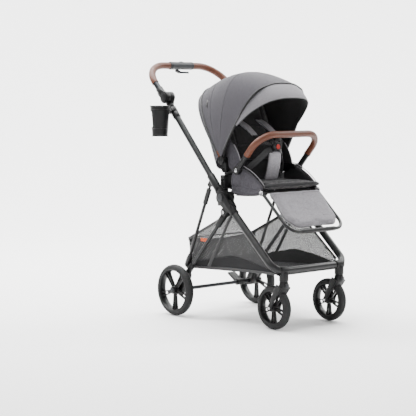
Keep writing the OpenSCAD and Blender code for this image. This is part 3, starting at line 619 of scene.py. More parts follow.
def cloth_vector(tree, lean=None):
    """Where the weave lies: on the piece's UV, or flat in a plane that leans by so many degrees."""
    coords = add_node(tree, "ShaderNodeTexCoord").outputs
    if lean is None:
        return coords["UV"]
    turn = (math.radians(-lean), 0, 0)
    return add_node(tree, "ShaderNodeMapping", {0: coords["Object"], 2: turn}).outputs[0]


def cloth_material(name, rgb, lean=None, thread=0.9, contrast=0.3, sheen=0.14):
    """Woven melange cloth."""
    material, tree, bsdf = new_material(name, 0.88, Sheen_Weight=sheen, Sheen_Roughness=0.45, Specular_IOR_Level=0.25)
    vector = cloth_vector(tree, lean)
    weave = use_group(tree, "weave", Vector=vector, Thread=thread * MM)
    yarn = use_group(tree, "melange", Vector=vector)
    mix = blend_colours(tree, yarn["Flecks"], shade_of(rgb, 1 - contrast), shade_of(rgb, 1 + contrast))
    shadow = blend_values(tree, weave["Height"], 0.72, 1.06)
    tone = blend_values(tree, yarn["Tone"], 0.93, 1.07)
    mix = blend_colours(tree, 1.0, mix, add_node(tree, "ShaderNodeCombineColor", {
        0: math_node(tree, "MULTIPLY", shadow, tone), 1: math_node(tree, "MULTIPLY", shadow, tone),
        2: math_node(tree, "MULTIPLY", shadow, tone)}).outputs[0], "MULTIPLY")
    tree.links.new(mix, bsdf.inputs["Base Color"])
    tree.links.new(blend_values(tree, yarn["Tone"], 0.82, 0.94), bsdf.inputs["Roughness"])
    set_bump(tree, bsdf, weave["Height"], 0.00025, 0.6)
    return material


def net_material(name, rgb):
    material, tree, bsdf = new_material(name, 0.7, Sheen_Weight=0.1)
    net = use_group(tree, "net", Vector=cloth_vector(tree))
    tone = noise_at(tree, object_coords(tree), 25.0, 3.0)
    base = blend_colours(tree, tone, shade_of(rgb, 0.8), shade_of(rgb, 1.25))
    tree.links.new(base, bsdf.inputs["Base Color"])
    tree.links.new(net["Yarn"], bsdf.inputs["Alpha"])
    set_bump(tree, bsdf, net["Height"], 0.0003, 0.5)
    return material


def webbing_material(name, rgb):
    """Ribbed woven tape: ribs run across the strap, along its UV."""
    material, tree, bsdf = new_material(name, 0.6, Sheen_Weight=0.15)
    coords = object_coords(tree)
    weave = use_group(tree, "weave", Vector=coords, Thread=0.0014)
    # painted shade between the ribs and painted light on their tops: the colour follows the weave's height
    mix = blend_colours(tree, weave["Height"], shade_of(rgb, 0.6), shade_of(rgb, 1.3))
    tree.links.new(mix, bsdf.inputs["Base Color"])
    tree.links.new(blend_values(tree, weave["Warp"], 0.5, 0.7), bsdf.inputs["Roughness"])
    set_bump(tree, bsdf, weave["Height"], 0.0003, 0.7)
    return material


def leather_material(name, rgb):
    material, tree, bsdf = new_material(name, 0.48, Coat_Weight=0.03, Coat_Roughness=0.35, Specular_IOR_Level=0.35)
    coords = object_coords(tree)
    hide = use_group(tree, "leather", Vector=coords)
    wear = use_group(tree, "wear", Vector=coords, Edges=0.5, Dust=0.0)
    tone = noise_at(tree, coords, 22.0, 4.0)
    base = blend_colours(tree, tone, shade_of(rgb, 0.82), shade_of(rgb, 1.2))
    # painted shade: the creases between the cells are darkened
    base = blend_colours(tree, hide["Crease"], base, shade_of(rgb, 0.55))
    base = blend_colours(tree, wear["Edge"], base, shade_of(rgb, 1.5))
    tree.links.new(base, bsdf.inputs["Base Color"])
    tree.links.new(blend_values(tree, hide["Crease"], 0.42, 0.62), bsdf.inputs["Roughness"])
    set_bump(tree, bsdf, hide["Height"], 0.0004, 0.5)
    return material


def moulding_material(name, rgb, roughness=0.42, edges=0.15, dust=0.05):
    material, tree, bsdf = new_material(name, roughness, Specular_IOR_Level=0.25)
    coords = object_coords(tree)
    grain = use_group(tree, "grain", Vector=coords)
    wear = use_group(tree, "wear", Vector=coords, Edges=edges, Dust=dust)
    base = blend_colours(tree, grain["Patches"], shade_of(rgb, 0.88), shade_of(rgb, 1.15))
    base = blend_colours(tree, wear["Edge"], base, shade_of(rgb, 2.6))
    base = blend_colours(tree, wear["Dust"], base, (0.30, 0.29, 0.28, 1))
    tree.links.new(base, bsdf.inputs["Base Color"])
    rough = blend_values(tree, grain["Patches"], roughness - 0.07, roughness + 0.1)
    tree.links.new(math_node(tree, "ADD", rough, math_node(tree, "MULTIPLY", wear["Dust"], 0.3)),
                   bsdf.inputs["Roughness"])
    set_bump(tree, bsdf, grain["Height"], 0.00008, 0.5)
    return material


def paint_material(name, rgb):
    """Satin powder coat with a faint orange peel."""
    material, tree, bsdf = new_material(name, 0.34, Coat_Weight=0.05, Coat_Roughness=0.3, Specular_IOR_Level=0.3)
    coords = object_coords(tree)
    peel = noise_at(tree, coords, 900.0, 2.0)
    slow = noise_at(tree, coords, 26.0, 4.0)
    wear = use_group(tree, "wear", Vector=coords, Edges=0.02, Dust=0.03)
    base = blend_colours(tree, slow, shade_of(rgb, 0.9), shade_of(rgb, 1.2))
    base = blend_colours(tree, wear["Dust"], base, (0.30, 0.29, 0.28, 1))
    base = blend_colours(tree, wear["Edge"], base, (0.35, 0.35, 0.36, 1))
    tree.links.new(base, bsdf.inputs["Base Color"])
    tree.links.new(blend_values(tree, slow, 0.27, 0.42), bsdf.inputs["Roughness"])
    set_bump(tree, bsdf, peel, 0.00006, 0.4)
    return material


def metal_material(name, rgb, roughness=0.3, brushed=True):
    """Bare or anodised metal, brushed round the tube where asked."""
    material, tree, bsdf = new_material(name, roughness, Metallic=1.0)
    coords = object_coords(tree)
    lines = add_node(tree, "ShaderNodeMapping", {0: coords, 3: (0.05, 1.0, 1.0)}).outputs[0]
    brush = noise_at(tree, lines if brushed else coords, 1400.0, 3.0)
    slow = noise_at(tree, coords, 24.0, 4.0)
    base = blend_colours(tree, slow, shade_of(rgb, 0.88), shade_of(rgb, 1.1))
    base = blend_colours(tree, math_node(tree, "MULTIPLY", brush, 0.35), base, shade_of(rgb, 0.6))
    tree.links.new(base, bsdf.inputs["Base Color"])
    tree.links.new(blend_values(tree, slow, roughness - 0.06, roughness + 0.12), bsdf.inputs["Roughness"])
    set_bump(tree, bsdf, brush, 0.00004, 0.5)
    return material


def rubber_material(name, rgb):
    material, tree, bsdf = new_material(name, 0.72, Specular_IOR_Level=0.3)
    coords = object_coords(tree)
    grain = use_group(tree, "grain", Vector=coords, Scale=1100.0)
    wear = use_group(tree, "wear", Vector=coords, Edges=0.2, Dust=0.15)
    base = blend_colours(tree, grain["Patches"], shade_of(rgb, 0.85), shade_of(rgb, 1.2))
    base = blend_colours(tree, wear["Edge"], base, shade_of(rgb, 2.0))
    base = blend_colours(tree, wear["Dust"], base, (0.26, 0.25, 0.24, 1))
    tree.links.new(base, bsdf.inputs["Base Color"])
    tree.links.new(blend_values(tree, grain["Patches"], 0.62, 0.82), bsdf.inputs["Roughness"])
    set_bump(tree, bsdf, grain["Height"], 0.00015, 0.6)
    return material


MATERIALS = {}


def material(key):
    """Each finish is made once, from the scene's colours."""
    if key not in MATERIALS:
        c = bpy.context.scene.stroller_colours
        makers = {
            "hood": lambda: cloth_material("Hood Cloth", c.grey_cloth),
            # partly painted light: the visor is a lighter cloth, and its shade of the light cloth is set higher to
            # stand in for the light falling on its top
            "visor": lambda: cloth_material("Visor Cloth Partly Lit", shade_of(c.light_cloth, 0.8)),
            "hood_lining": lambda: cloth_material("Hood Lining", c.lining, contrast=0.2, sheen=0.15),
            "footrest": lambda: cloth_material("Footrest Cloth", c.light_cloth, lean=42),
            "level_light": lambda: cloth_material("Light Cloth", c.light_cloth, lean=90),
            # painted light: a lit copy of the light cloth, 1.5 times lighter, that makes up for the shade on the
            # shoulder and crotch pads inside the seat
            "pads": lambda: cloth_material("Harness Pads Lit Copy", shade_of(c.light_cloth, 1.5), lean=90),
            "wing": lambda: cloth_material("Wing Cloth", shade_of(c.grey_cloth, 1.15), lean=90),
            "seat": lambda: cloth_material("Seat Cloth", c.lining, lean=0, contrast=0.25, sheen=0.2),
            "back": lambda: cloth_material("Back Cloth", c.lining, lean=67, contrast=0.25, sheen=0.2),
            "binding": lambda: webbing_material("Binding Tape", (0.006, 0.006, 0.0065)),
            "webbing": lambda: webbing_material("Harness Webbing", (0.011, 0.011, 0.012)),
            "thread": lambda: webbing_material("Sewing Thread", (0.05, 0.05, 0.053)),
            "tan_thread": lambda: webbing_material("Leather Thread", (0.20, 0.10, 0.055)),
            "net": lambda: net_material("Basket Net", c.net),
            "band": lambda: cloth_material("Basket Cloth", (0.009, 0.009, 0.01), contrast=0.15, sheen=0.05),
            "leather": lambda: leather_material("Tan Leather", c.leather),
            "frame_black": lambda: paint_material("Frame Paint", c.frame_paint),
            "moulded_black": lambda: moulding_material("Black Moulding", c.plastic),
            "rim": lambda: moulding_material("Rim Moulding", c.plastic, roughness=0.34, edges=0.2),
            "moulded_grey": lambda: moulding_material("Grey Moulding", c.grey_plastic),
            "grey_metal": lambda: metal_material("Anodised Tube", c.tube, 0.34),
            "bright_metal": lambda: metal_material("Polished Metal", (0.5, 0.5, 0.51), 0.2, False),
            "rubber": lambda: rubber_material("Tyre Rubber", c.rubber),
            "red": lambda: moulding_material("Red Button", (0.30, 0.02, 0.015), 0.3),
            "orange": lambda: cloth_material("Orange Tab", (0.62, 0.10, 0.03), lean=90, contrast=0.1),
        }
        MATERIALS[key] = makers[key]()
    return MATERIALS[key]


CAD_FINISH = {"tan_leather": "leather", "basket_mesh": "net", "tyre_rubber": "rubber", "red_button": "red",
              "grey_melange": "wing", "light_melange": "level_light", "seat_lining": "seat"}


# ---------------------------------------------------------------- padded pieces

def puff(obj, swell, voxel=5.0, pressure=4.0, smooth=2):
    """Cloth simulation: the closed shape is inflated a little, so that it wrinkles and crowns."""
    settle(obj)
    modify(obj, "REMESH", mode="VOXEL", voxel_size=voxel * MM, use_smooth_shade=True)
    settle(obj)
    start = [v.co.copy() for v in obj.data.vertices]
    scene = bpy.context.scene
    scene.frame_set(1)
    cloth = obj.modifiers.new("Cloth", "CLOTH")
    cloth.settings.use_pressure = True
    cloth.settings.uniform_pressure_force = pressure
    cloth.settings.effector_weights.gravity = 0
    cloth.settings.quality = 4
    cloth.settings.mass = 0.2
    cloth.settings.tension_stiffness = 12
    cloth.settings.bending_stiffness = 0.4
    cloth.settings.time_scale = 1.0
    cloth.point_cache.frame_start = 1
    cloth.point_cache.frame_end = 20
    for step in range(1, 21):
        scene.frame_set(step)
    graph = bpy.context.evaluated_depsgraph_get()
    shape = obj.evaluated_get(graph).data
    moved = [v.co.copy() for v in shape.vertices]
    obj.modifiers.clear()
    cap = swell * MM
    for vertex, a, b in zip(obj.data.vertices, start, moved):
        step = b - a
        vertex.co = a + (step * (cap / step.length) if step.length > cap else step)
    scene.frame_set(1)
    modify(obj, "SMOOTH", factor=0.5, iterations=smooth)
    modify(obj, "SUBSURF", levels=1, render_levels=1)
    return settle(obj)


def pad(name, outline, place, thickness, crown=0.35, rings=7):
    """A closed cushion over a flat outline in millimetres, crowned on both faces, thin at the rim."""
    centre = Vector((0, 0))
    for p in outline:
        centre += Vector(p)
    centre /= len(outline)
    bm = bmesh.new()
    rows = {}
    for side in (1, -1):
        for k in range(rings):
            s = 1 - k / rings
            lift = (1 - s ** 4) ** 0.5
            height = thickness / 2 * ((1 - crown) * min(1.0, lift * 1.6) + crown * lift)
            rows[side, k] = [bm.verts.new(place(*(centre + (Vector(p) - centre) * s),
                                                side * max(height, thickness * 0.08))) for p in outline]
        rows[side, rings] = [bm.verts.new(place(*centre, side * thickness / 2))]
    count = len(outline)
    for side in (1, -1):
        for k in range(rings - 1):
            a, b = rows[side, k], rows[side, k + 1]
            for i in range(count):
                j = (i + 1) % count
                bm.faces.new((a[i], a[j], b[j], b[i]))
        a, tip = rows[side, rings - 1], rows[side, rings][0]
        for i in range(count):
            bm.faces.new((a[i], a[(i + 1) % count], tip))
    a, b = rows[1, 0], rows[-1, 0]
    for i in range(count):
        j = (i + 1) % count
        bm.faces.new((a[i], a[j], b[j], b[i]))
    return from_bmesh(name, bm)


def groove(obj, distance, depth, width=5.0):
    """Presses a sewn channel into a pad; distance(point) is a point's millimetres from the seam."""
    mesh = obj.data
    normals = [v.normal.copy() for v in mesh.vertices]
    for vertex, normal in zip(mesh.vertices, normals):
        d = abs(distance(vertex.co)) / width
        if d < 3:
            vertex.co -= normal * depth * MM * math.exp(-d * d)
    mesh.update()


def crease(obj, amount, scale=28.0, seed=0.0):
    """Slow, soft unevenness of filled cloth, the same in every run."""
    shift = Vector((seed, seed * 0.7, -seed))
    normals = [v.normal.copy() for v in obj.data.vertices]
    for vertex, normal in zip(obj.data.vertices, normals):
        value = noise.fractal(vertex.co * scale + shift, 1.0, 2.0, 3)
        vertex.co += normal * value * amount * MM
    obj.data.update()


def project_to(obj, points, offset=0.0):
    """Moves points onto the nearest surface of a piece, then out along its normal, in millimetres."""
    out = []
    for p in points:
        _, where, normal, _ = obj.closest_point_on_mesh(Vector(p))
        out.append(where + normal * offset * MM)
    return out


def piping(name, path, thickness, mat, body, closed=False):
    """A round cord in a folded tape, sewn into a seam."""
    obj = sweep(name, path, thickness / 2 * MM, sides=10, closed=closed)
    return finish_piece(obj, mat, body, angle=60)


def stitches(name, path, surface_up, mat, body, pitch=4.0, size=(2.4, 0.7)):
    """A run of thread stitches that lie along a path."""
    points = [Vector(p) for p in path]
    total = sum((b - a).length for a, b in zip(points, points[1:]))
    count = max(2, int(total / (pitch * MM)))
    spots = resample(points, count * 2 + 1)
    grain = [(-1.0, 0.0, 0.0)]
    grain += [(x, r * math.cos(math.tau * k / 6), r * math.sin(math.tau * k / 6))
              for x, r in ((-0.72, 0.72), (0.0, 1.0), (0.72, 0.72)) for k in range(6)]
    grain.append((1.0, 0.0, 0.0))
    faces = []
    for k in range(6):
        n = (k + 1) % 6
        faces += [(0, 1 + n, 1 + k), (19, 13 + k, 13 + n)]
        faces += [(1 + k + r, 1 + n + r, 7 + n + r, 7 + k + r) for r in (0, 6)]
    verts, every = [], []
    for i in range(count):
        a, m, b = spots[2 * i], spots[2 * i + 1], spots[min(2 * i + 2, 2 * count)]
        t = (b - a).normalized()
        up = Vector(surface_up(m) if callable(surface_up) else surface_up)
        up = (up - t * up.dot(t)).normalized()
        side = t.cross(up)
        base = len(verts)
        verts += [m + (t * x * size[0] + side * y * size[1] + up * z * size[1]) / 2 * MM for x, y, z in grain]
        every += [tuple(base + v for v in face) for face in faces]
    mesh = bpy.data.meshes.new(name)
    mesh.from_pydata(verts, [], every)
    return finish_piece(add_object(name, mesh), mat, body, angle=80)


# ---------------------------------------------------------------- wheels and casters

def tyre_profile(radius, width):
    """Half-round tread on a rounded carcass, closed; points are (along the axle, radius)."""
    half = width / 2
    points = []
    for k in range(25):
        a = math.radians(-90 + 180 * k / 24)
        flat = 1.0 - 0.06 * (1 - abs(math.sin(a)))
        points.append((half * math.sin(a) * 0.985, radius - half + half * math.cos(a) * flat))
    points += [(half * 0.93, radius - half - 2.4), (-half * 0.93, radius - half - 2.4)]
    return points + [points[0]]


def make_wheel(context, name, centre, radius, axle_side):
    """One wheel: tread with sipes, rim with a lip, double spokes, hub and its cap."""
    sizes = context.scene.stroller_wheels
    width = sizes.tyre_width
    segments = sizes.tread * 4
    tyre = turned(name + "_tread", tyre_profile(radius, width), centre, segments)
    mesh = tyre.data
    middle = Vector(centre)
    for vertex in mesh.vertices:
        local = vertex.co - middle
        r = math.hypot(local.y, local.z)
        if r > (radius - 3.4) * MM:
            turn = math.atan2(local.z, local.y) / math.tau * segments
            across = abs(local.x) / (width / 2 * MM)
            step = round(turn) % 4
            cut = 1.1 * MM if step == 0 and across > 0.16 else 0.0
            if abs(across - 0.13) < 0.05:
                cut = 0.9 * MM
            vertex.co -= Vector((0, local.y, local.z)).normalized() * cut
    finish_piece(tyre, "rubber", BODY_OF[name + "_tyre"], [name + "_tyre"], 50)

    bead = radius - width / 2 - 2.7
    half = width / 2
    lip = [(half - 9, bead - 7.5), (half - 3, bead - 5), (half + 0.2, bead - 3), (half + 0.6, bead + 0.2),
           (half - 0.2, bead + 1.2), (half - 1, bead)]
    rim_points = [(-x, r) for x, r in reversed(lip)] + [(0, bead - 8.5)] + lip + [(-half + 1, bead)]
    rim = turned(name + "_barrel", rim_points, centre, 120)
    pieces = [rim]
    hub_half = [(6, 17.5), (half - 1, 15.5), (half + 0.4, 13), (half + 0.4, 5)]
    hub_points = [(-x, r) for x, r in reversed(hub_half)] + hub_half + [(-half - 0.4, 5)]
    pieces.append(turned(name + "_hub", hub_points, centre, 48))
    inner, outer = 14.0, bead - 6.5
    for k in range(sizes.spokes):
        turn = math.radians(-90 + 360 / sizes.spokes * k)
        along = Vector((0, math.cos(turn), math.sin(turn)))
        cross = Vector((0, -math.sin(turn), math.cos(turn)))
        for s in (1, -1):
            rings = []
            for i in range(9):
                t = i / 8
                r = inner + (outer - inner) * t
                spread = s * (3.4 + 4.6 * t + 1.6 * math.sin(math.pi * t))
                thick = 2.5 + 1.4 * (2 * t - 1) ** 4
                depth = 8.0 - 1.5 * math.sin(math.pi * t) + 2.0 * t ** 3
                ring = []
                for a in (math.tau * j / 12 for j in range(12)):
                    ca, sa = math.cos(a), math.sin(a)
                    u = thick * math.copysign(abs(ca) ** 0.6, ca)
                    v = depth * math.copysign(abs(sa) ** 0.6, sa)
                    ring.append(middle + along * r * MM + cross * (spread + u) * MM + mm(v, 0, 0))
                rings.append(ring)
            pieces.append(loft(f"{name}_rib_{k}_{s}", rings))
        web = [middle + along * r * MM + cross * w * MM for r, w in
               ((inner, -4), (outer * 0.62, -5.2), (outer * 0.62, 5.2), (inner, 4))]
        bm = bmesh.new()
        for x in (-3.2, 3.2):
            for p in web:
                bm.verts.new(p + mm(x, 0, 0))
        bm.verts.ensure_lookup_table()
        v = bm.verts
        bm.faces.new((v[0], v[1], v[2], v[3]))
        bm.faces.new((v[7], v[6], v[5], v[4]))
        for i in range(4):
            bm.faces.new((v[i], v[(i + 1) % 4], v[(i + 1) % 4 + 4], v[i + 4]))
        web_piece = from_bmesh(f"{name}_web_{k}", bm)
        modify(web_piece, "BEVEL", width=0.8 * MM, segments=2)
        pieces.append(web_piece)
    wheel = join(name + "_rim_spokes", pieces)
    finish_piece(wheel, "rim", BODY_OF[name + "_rim"], [name + "_rim"], 35)
    cap_points = [(half + 0.4, 0.01), (half + 0.4, 11.5), (half + 1.6, 11.2), (half + 2.2, 9.5),
                  (half + 2.2, 6), (half + 1.4, 4.5), (half + 1.4, 0.01)]
    for side in axle_side:
        tag = "out" if side > 0 else "in"
        cap = turned(f"{name}_cap_{tag}", [(side * a, r) for a, r in cap_points], centre, 40)
        finish_piece(cap, "moulded_grey", BODY_OF[name + "_rim"])


def oval_ring(centre, half_u, half_v, axis_u, axis_v, power=0.7, points=20):
    """A rounded rectangle of points round a centre."""
    ring = []
    for k in range(points):
        a = math.tau * k / points
        c, s = math.cos(a), math.sin(a)
        ring.append(Vector(centre) + Vector(axis_u) * half_u * MM * math.copysign(abs(c) ** power, c)
                    + Vector(axis_v) * half_v * MM * math.copysign(abs(s) ** power, s))
    return ring


def make_fork(side_name, sign):
    """A caster fork: round stem, a shroud over the hidden spring, and two legs down to the axle."""
    x = sign * abs(STEM.x)
    front = Vector((x, FRONT_AXLE.y, FRONT_AXLE.z))
    top = Vector((x, STEM.y, node_box(side_name + "_fork")[1].z))
    crown = Vector((x, STEM.y, 187 * MM))
    right = Vector((1, 0, 0))
    down = (front - crown).normalized()
    across = Vector((0, -down.z, down.y))
    pieces = []
    neck = [(top.z - 0.2 * MM, 14.5, 14.5), (top.z - 1.2 * MM, 16.2, 16.2), (crown.z + 10 * MM, 17, 17),
            (crown.z + 2 * MM, 20, 17.5), (crown.z - 8 * MM, 25, 17), (crown.z - 16 * MM, 27.5, 15),
            (crown.z - 20 * MM, 27.5, 12)]
    rings = []
    for z, u, v in neck:
        y = STEM.y + (2 * MM if z < crown.z else 0)
        rings.append(oval_ring((x, y, z), u, v, right, (0, 1, 0), 0.85, 32))
    pieces.append(loft("neck", rings))
    reach = (front - crown).length / MM
    for s in (1, -1):
        rings = []
        for k in range(15):
            t = k / 14
            length_now = 4 + (reach - 4) * t
            middle = crown + down * length_now * MM + right * s * 25.2 * MM
            middle += across * (3.0 * math.sin(math.pi * t)) * MM
            wide = 16.5 - 6.5 * math.sin(math.pi * min(1, t * 1.15) / 2) ** 2 + (2.5 * max(0, t - 0.8) / 0.2)
            rings.append(oval_ring(middle, 3.6, wide, right, across, 0.65, 24))
        end = front + right * s * 25.2 * MM
        for a, w in ((4, 11.2), (8, 8.2), (10.4, 3.6)):
            rings.append(oval_ring(end + down * a * MM, 3.6 if a < 10 else 2.4, w, right, across, 0.65, 24))
        pieces.append(loft(f"leg_{s}", rings))
        pieces.append(turned(f"boss_{s}", [(s * 21.6, 0.01), (s * 21.6, 11), (s * 28.6, 11), (s * 29.4, 10),
                                           (s * 29.4, 0.01)], front, 40))
    # the shroud over the spring, ahead of the legs
    shroud = []
    for t in (0, 0.06, 0.2, 0.4, 0.6, 0.8, 0.94, 1.0):
        middle = crown + down * (4 + 46 * t) * MM - across * (7 - 3 * t) * MM
        bulge = math.sin(math.pi * min(max(t, 0.02), 0.98)) ** 0.35
        wide = 22.5 * (0.55 + 0.45 * bulge)
        shroud.append(oval_ring(middle, wide, 13.5 * bulge - 3 * t, right, across, 0.7, 32))
    pieces.append(loft("shroud", shroud))
    fork = join(side_name + "_fork_moulding", pieces)
    finish_piece(fork, "moulded_black", BODY_OF[side_name + "_fork"], [side_name + "_fork"], 38)
    for s in (1, -1):
        head = turned(f"{side_name}_axle_head_{'a' if s > 0 else 'b'}",
                      [(s * 29.4, 0.01), (s * 29.4, 6.5), (s * 30.6, 6.2), (s * 31.4, 4.4), (s * 31.4, 2.6),
                       (s * 30.4, 2.4), (s * 30.4, 0.01)], front, 32)
        finish_piece(head, "bright_metal", BODY_OF[side_name + "_fork"])


# ---------------------------------------------------------------- frame finishes

MOULDED_NODES = (
    "hub_housings", "upper_knuckles", "tube_collars", "pivot_barrels", "cup_clamp", "handle_hubs",
    "rear_leg_sleeves", "wheel_carriers", "seat_sockets", "caster_sockets", "seat_frame", "brake_pedal",
    "left_swivel_lock", "right_swivel_lock", "left_tilt_button", "right_tilt_button")


def finish_frame():
    """Gives every CAD node its finish, and breaks the edges of the moulded ones."""
    for node, obj in frame["nodes"].items():
        slot = SLOT_OF[node]
        mat = material(CAD_FINISH.get(slot, slot))
        obj.data.materials.clear()
        obj.data.materials.append(mat)
    for node in MOULDED_NODES:
        slot = SLOT_OF[node]
        piece = rounded_copy(node)
        finish_piece(piece, CAD_FINISH.get(slot, slot), BODY_OF[node], [node], 32)


def make_rivets():
    """Caps and rivets on the pivots, where the real frame has them."""
    outer = node_box("hub_housings")[1].x
    for side, sign in SIDES:
        for tag, spot, r in (("hub", HUB, 15.0), ("leg", LEG_PIVOT, 7.0)):
            x = sign * (outer if tag == "hub" else outer - 1 * MM)
            profile = [(0, 0.01), (0, r), (sign * 1.2, r - 0.4), (sign * 2.0, r - 2.0),
                       (sign * 1.4, r * 0.45), (sign * 1.4, 0.01)]
            cap = turned(f"{side}_{tag}_cap", profile, (x, spot.y, spot.z), 40)
            finish_piece(cap, "moulded_grey" if tag == "hub" else "bright_metal", "chassis")


# ---------------------------------------------------------------- hood

def arch(angle, turn, radius, half):
    """A point of the hood: angle is the bow's lean, and turn runs from the left foot, 0, to the right, pi."""
    c, s = math.cos(turn), max(0.0, math.sin(turn))
    x = half * math.copysign(abs(c) ** 0.68, c)
    h = radius * s ** 0.68
    return HOOD_PIVOT + Vector((x, 0, 0)) + Vector((0, math.cos(angle), math.sin(angle))) * h


def arch_turns(count, foot=0.6):
    """Bow parameters that give points at equal distances, from foot degrees above each pivot."""
    fine = [math.radians(foot + (180 - 2 * foot) * (1 - math.cos(math.pi * i / 400)) / 2) for i in range(401)]
    points = [arch(math.pi / 2, t, HOOD_R, HOOD_HALF) for t in fine]
    lengths = [0.0]
    for a, b in zip(points, points[1:]):
        lengths.append(lengths[-1] + (b - a).length)
    out, k = [], 0
    for i in range(count + 1):
        want = lengths[-1] * i / count
        while k < 399 and lengths[k + 1] < want:
            k += 1
        out.append(fine[k] + (fine[k + 1] - fine[k]) * (want - lengths[k]) / (lengths[k + 1] - lengths[k]))
    return out


def turn_at(turns, share):
    """The bow parameter at a share, 0 to 1, of the way along the bow."""
    count = len(turns) - 1
    k = share * count
    i = min(count - 1, int(k))
    return turns[i] + (turns[i + 1] - turns[i]) * (k - i)


def hood_point(sizes, angle, turn, inset=0.0):
    """The sewn cloth: it sags between the bows and pulls in soft folds towards the pivots."""
    rear, mid, front = sizes.rear_angle, sizes.middle_angle, sizes.front_angle
    a, b = (rear, mid) if angle < mid else (mid, front)
    between = math.sin(math.pi * (angle - a) / (b - a))
    up = max(0.0, math.sin(turn)) ** 0.5
    sag = sizes.sag * between * (0.3 + 0.7 * up)
    foot = (1 - up) ** 1.5
    fold = 2.2 * foot * math.sin(math.radians(angle - rear) * 13) * up
    spot = Vector((math.cos(turn) * 2, angle * 0.05, up * 2))
    ripple = 1.3 * noise.fractal(spot * 1.7, 1.0, 2.0, 3) * (0.4 + foot * 2)
    radius = HOOD_R - (sag + inset + fold - ripple) * MM
    half = HOOD_HALF - (inset + 0.5 * sag * up + fold) * MM
    return arch(math.radians(angle), turn, radius, half)


def make_hood(context):
    sizes = context.scene.stroller_hood
    turns = arch_turns(72)
    rear, front = sizes.rear_angle, sizes.front_angle

    def outside(u, v):
        return hood_point(sizes, rear + (front - rear) * v, turn_at(turns, u))

    def inside(u, v):
        return hood_point(sizes, rear + 0.3 + (front - rear - 0.6) * v, turn_at(turns, u), 2.4)

    def join_bodies(piece):
        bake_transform(piece)

    hood = sheet("hood_cloth", outside, 72, 44, thickness=1.2)
    finish_piece(hood, "hood", replaces=["canopy_shell"], angle=60)
    join_bodies(hood)
    lining = sheet("hood_lining", inside, 72, 36, thickness=0.8)
    finish_piece(lining, "hood_lining", angle=60)
    join_bodies(lining)

    # piping over the front bow and in front of the rear strip
    for name, angle, out in (("front", front, 1.4), ("rear", rear + sizes.rear_strip, 2.4)):
        path = [hood_point(sizes, angle, t, -out) for t in (turns[2:-2] if name == "front" else turns)]
        cord = sweep(f"hood_{name}_piping", path, sizes.piping / 2 * MM, 10)
        finish_piece(cord, "binding", angle=60)
        if name == "front":
            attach(cord, "canopy")
        else:
            join_bodies(cord)
    hem = sweep("hood_rear_hem", [hood_point(sizes, rear, t, 0.2) for t in turns], 1.6 * MM, 10)
    finish_piece(hem, "hood", "backrest", angle=60)

    # flat felled seams over the middle bow and beside it
    for index, (angle, bend) in enumerate(((sizes.middle_angle, 0), (rear + 15, 6))):
        path = [hood_point(sizes, angle + bend * math.sin(t), t, -0.5) for t in turns[5:68]]
        seam = sweep(f"hood_seam_{index}", path, 0.8 * MM, 8)
        finish_piece(seam, "hood", angle=60)
        join_bodies(seam)
        for s in (-1, 1):
            line = [hood_point(sizes, angle + bend * math.sin(t) + s * 0.55, t, -0.75)
                    for t in turns[5:68]]
            run = stitches(f"hood_stitches_{index}_{'a' if s > 0 else 'b'}", line,
                           lambda p: (p - HOOD_PIVOT), "thread", None, 4.5, (2.6, 0.6))
            join_bodies(run)

    # leather tabs at the rear feet, and press-stud hubs over the pivots
    for side, sign in SIDES:
        lean = Lean(HOOD_PIVOT, rear + 1.5)
        outline = rounded_outline([(8, -7), (34, -7), (34, 7), (8, 7)], 2.5)
        tab = plate(f"{side}_hood_tab", outline,
                    lambda x, u, v: lean.at(x, u + 6, v + 4), sign * 187.6, sign * 189.8, 0.6, 2)
        finish_piece(tab, "leather", "backrest")
        profile = [(0, 0.01), (0, 19), (sign * 1.5, 19), (sign * 4.5, 17.5), (sign * 6, 14), (sign * 6, 9),
                   (sign * 4.8, 8), (sign * 4.8, 0.01)]
        hub = turned(f"{side}_hood_hub", profile, HOOD_PIVOT + mm(sign * 181.2, 0, 0), 48)
        finish_piece(hub, "moulded_black", "canopy")


def visor_reach(sizes, turn):
    foot = math.radians(18)
    if turn <= foot or turn >= math.pi - foot:
        return 0.0
    return sizes.visor_reach * math.sin(math.pi * (turn - foot) / (math.pi - 2 * foot)) ** 0.6


def make_visor(context):
    """The sun visor: a stiffened band that grows out of the front bow and curls in a little."""
    sizes = context.scene.stroller_hood
    turns = [t for t in arch_turns(90, 1.0) if math.radians(18) <= t <= math.pi - math.radians(18)]
    count = len(turns) - 1
    front = sizes.front_angle

    def band(inset):
        def point(u, v):
            turn = turn_at(turns, u)
            angle = front + 0.1 + (0.3 + visor_reach(sizes, turn)) * v
            radius = HOOD_R - (1 + inset + 9 * v * v) * MM
            return arch(math.radians(angle), turn, radius, HOOD_HALF - (1 + inset + 3 * v * v) * MM)
        return point

    outer = sheet("visor_cloth", band(0), count, 12, thickness=1.6)
    finish_piece(outer, "visor", replaces=["canopy_visor"], angle=60)
    inner = sheet("visor_lining", band(2.2), count, 10, thickness=0.9)
    finish_piece(inner, "hood_lining", angle=60)
    edge = sweep("visor_binding", [band(1.0)(i / count, 1.0) for i in range(count + 1)], 2.0 * MM, 10)
    finish_piece(edge, "binding", angle=60)
    line = [band(-1.0)(i / count, 0.86) for i in range(3, count - 2)]
    run = stitches("visor_stitches", line, lambda p: (p - HOOD_PIVOT), "thread", None, 4.5, (2.6, 0.6))
    for piece in (outer, inner, edge, run):
        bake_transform(piece)


# ---------------------------------------------------------------- backrest and seat

def seat_lean(context):
    return Lean(SEAT_HINGE, context.scene.stroller_seat.back_angle)


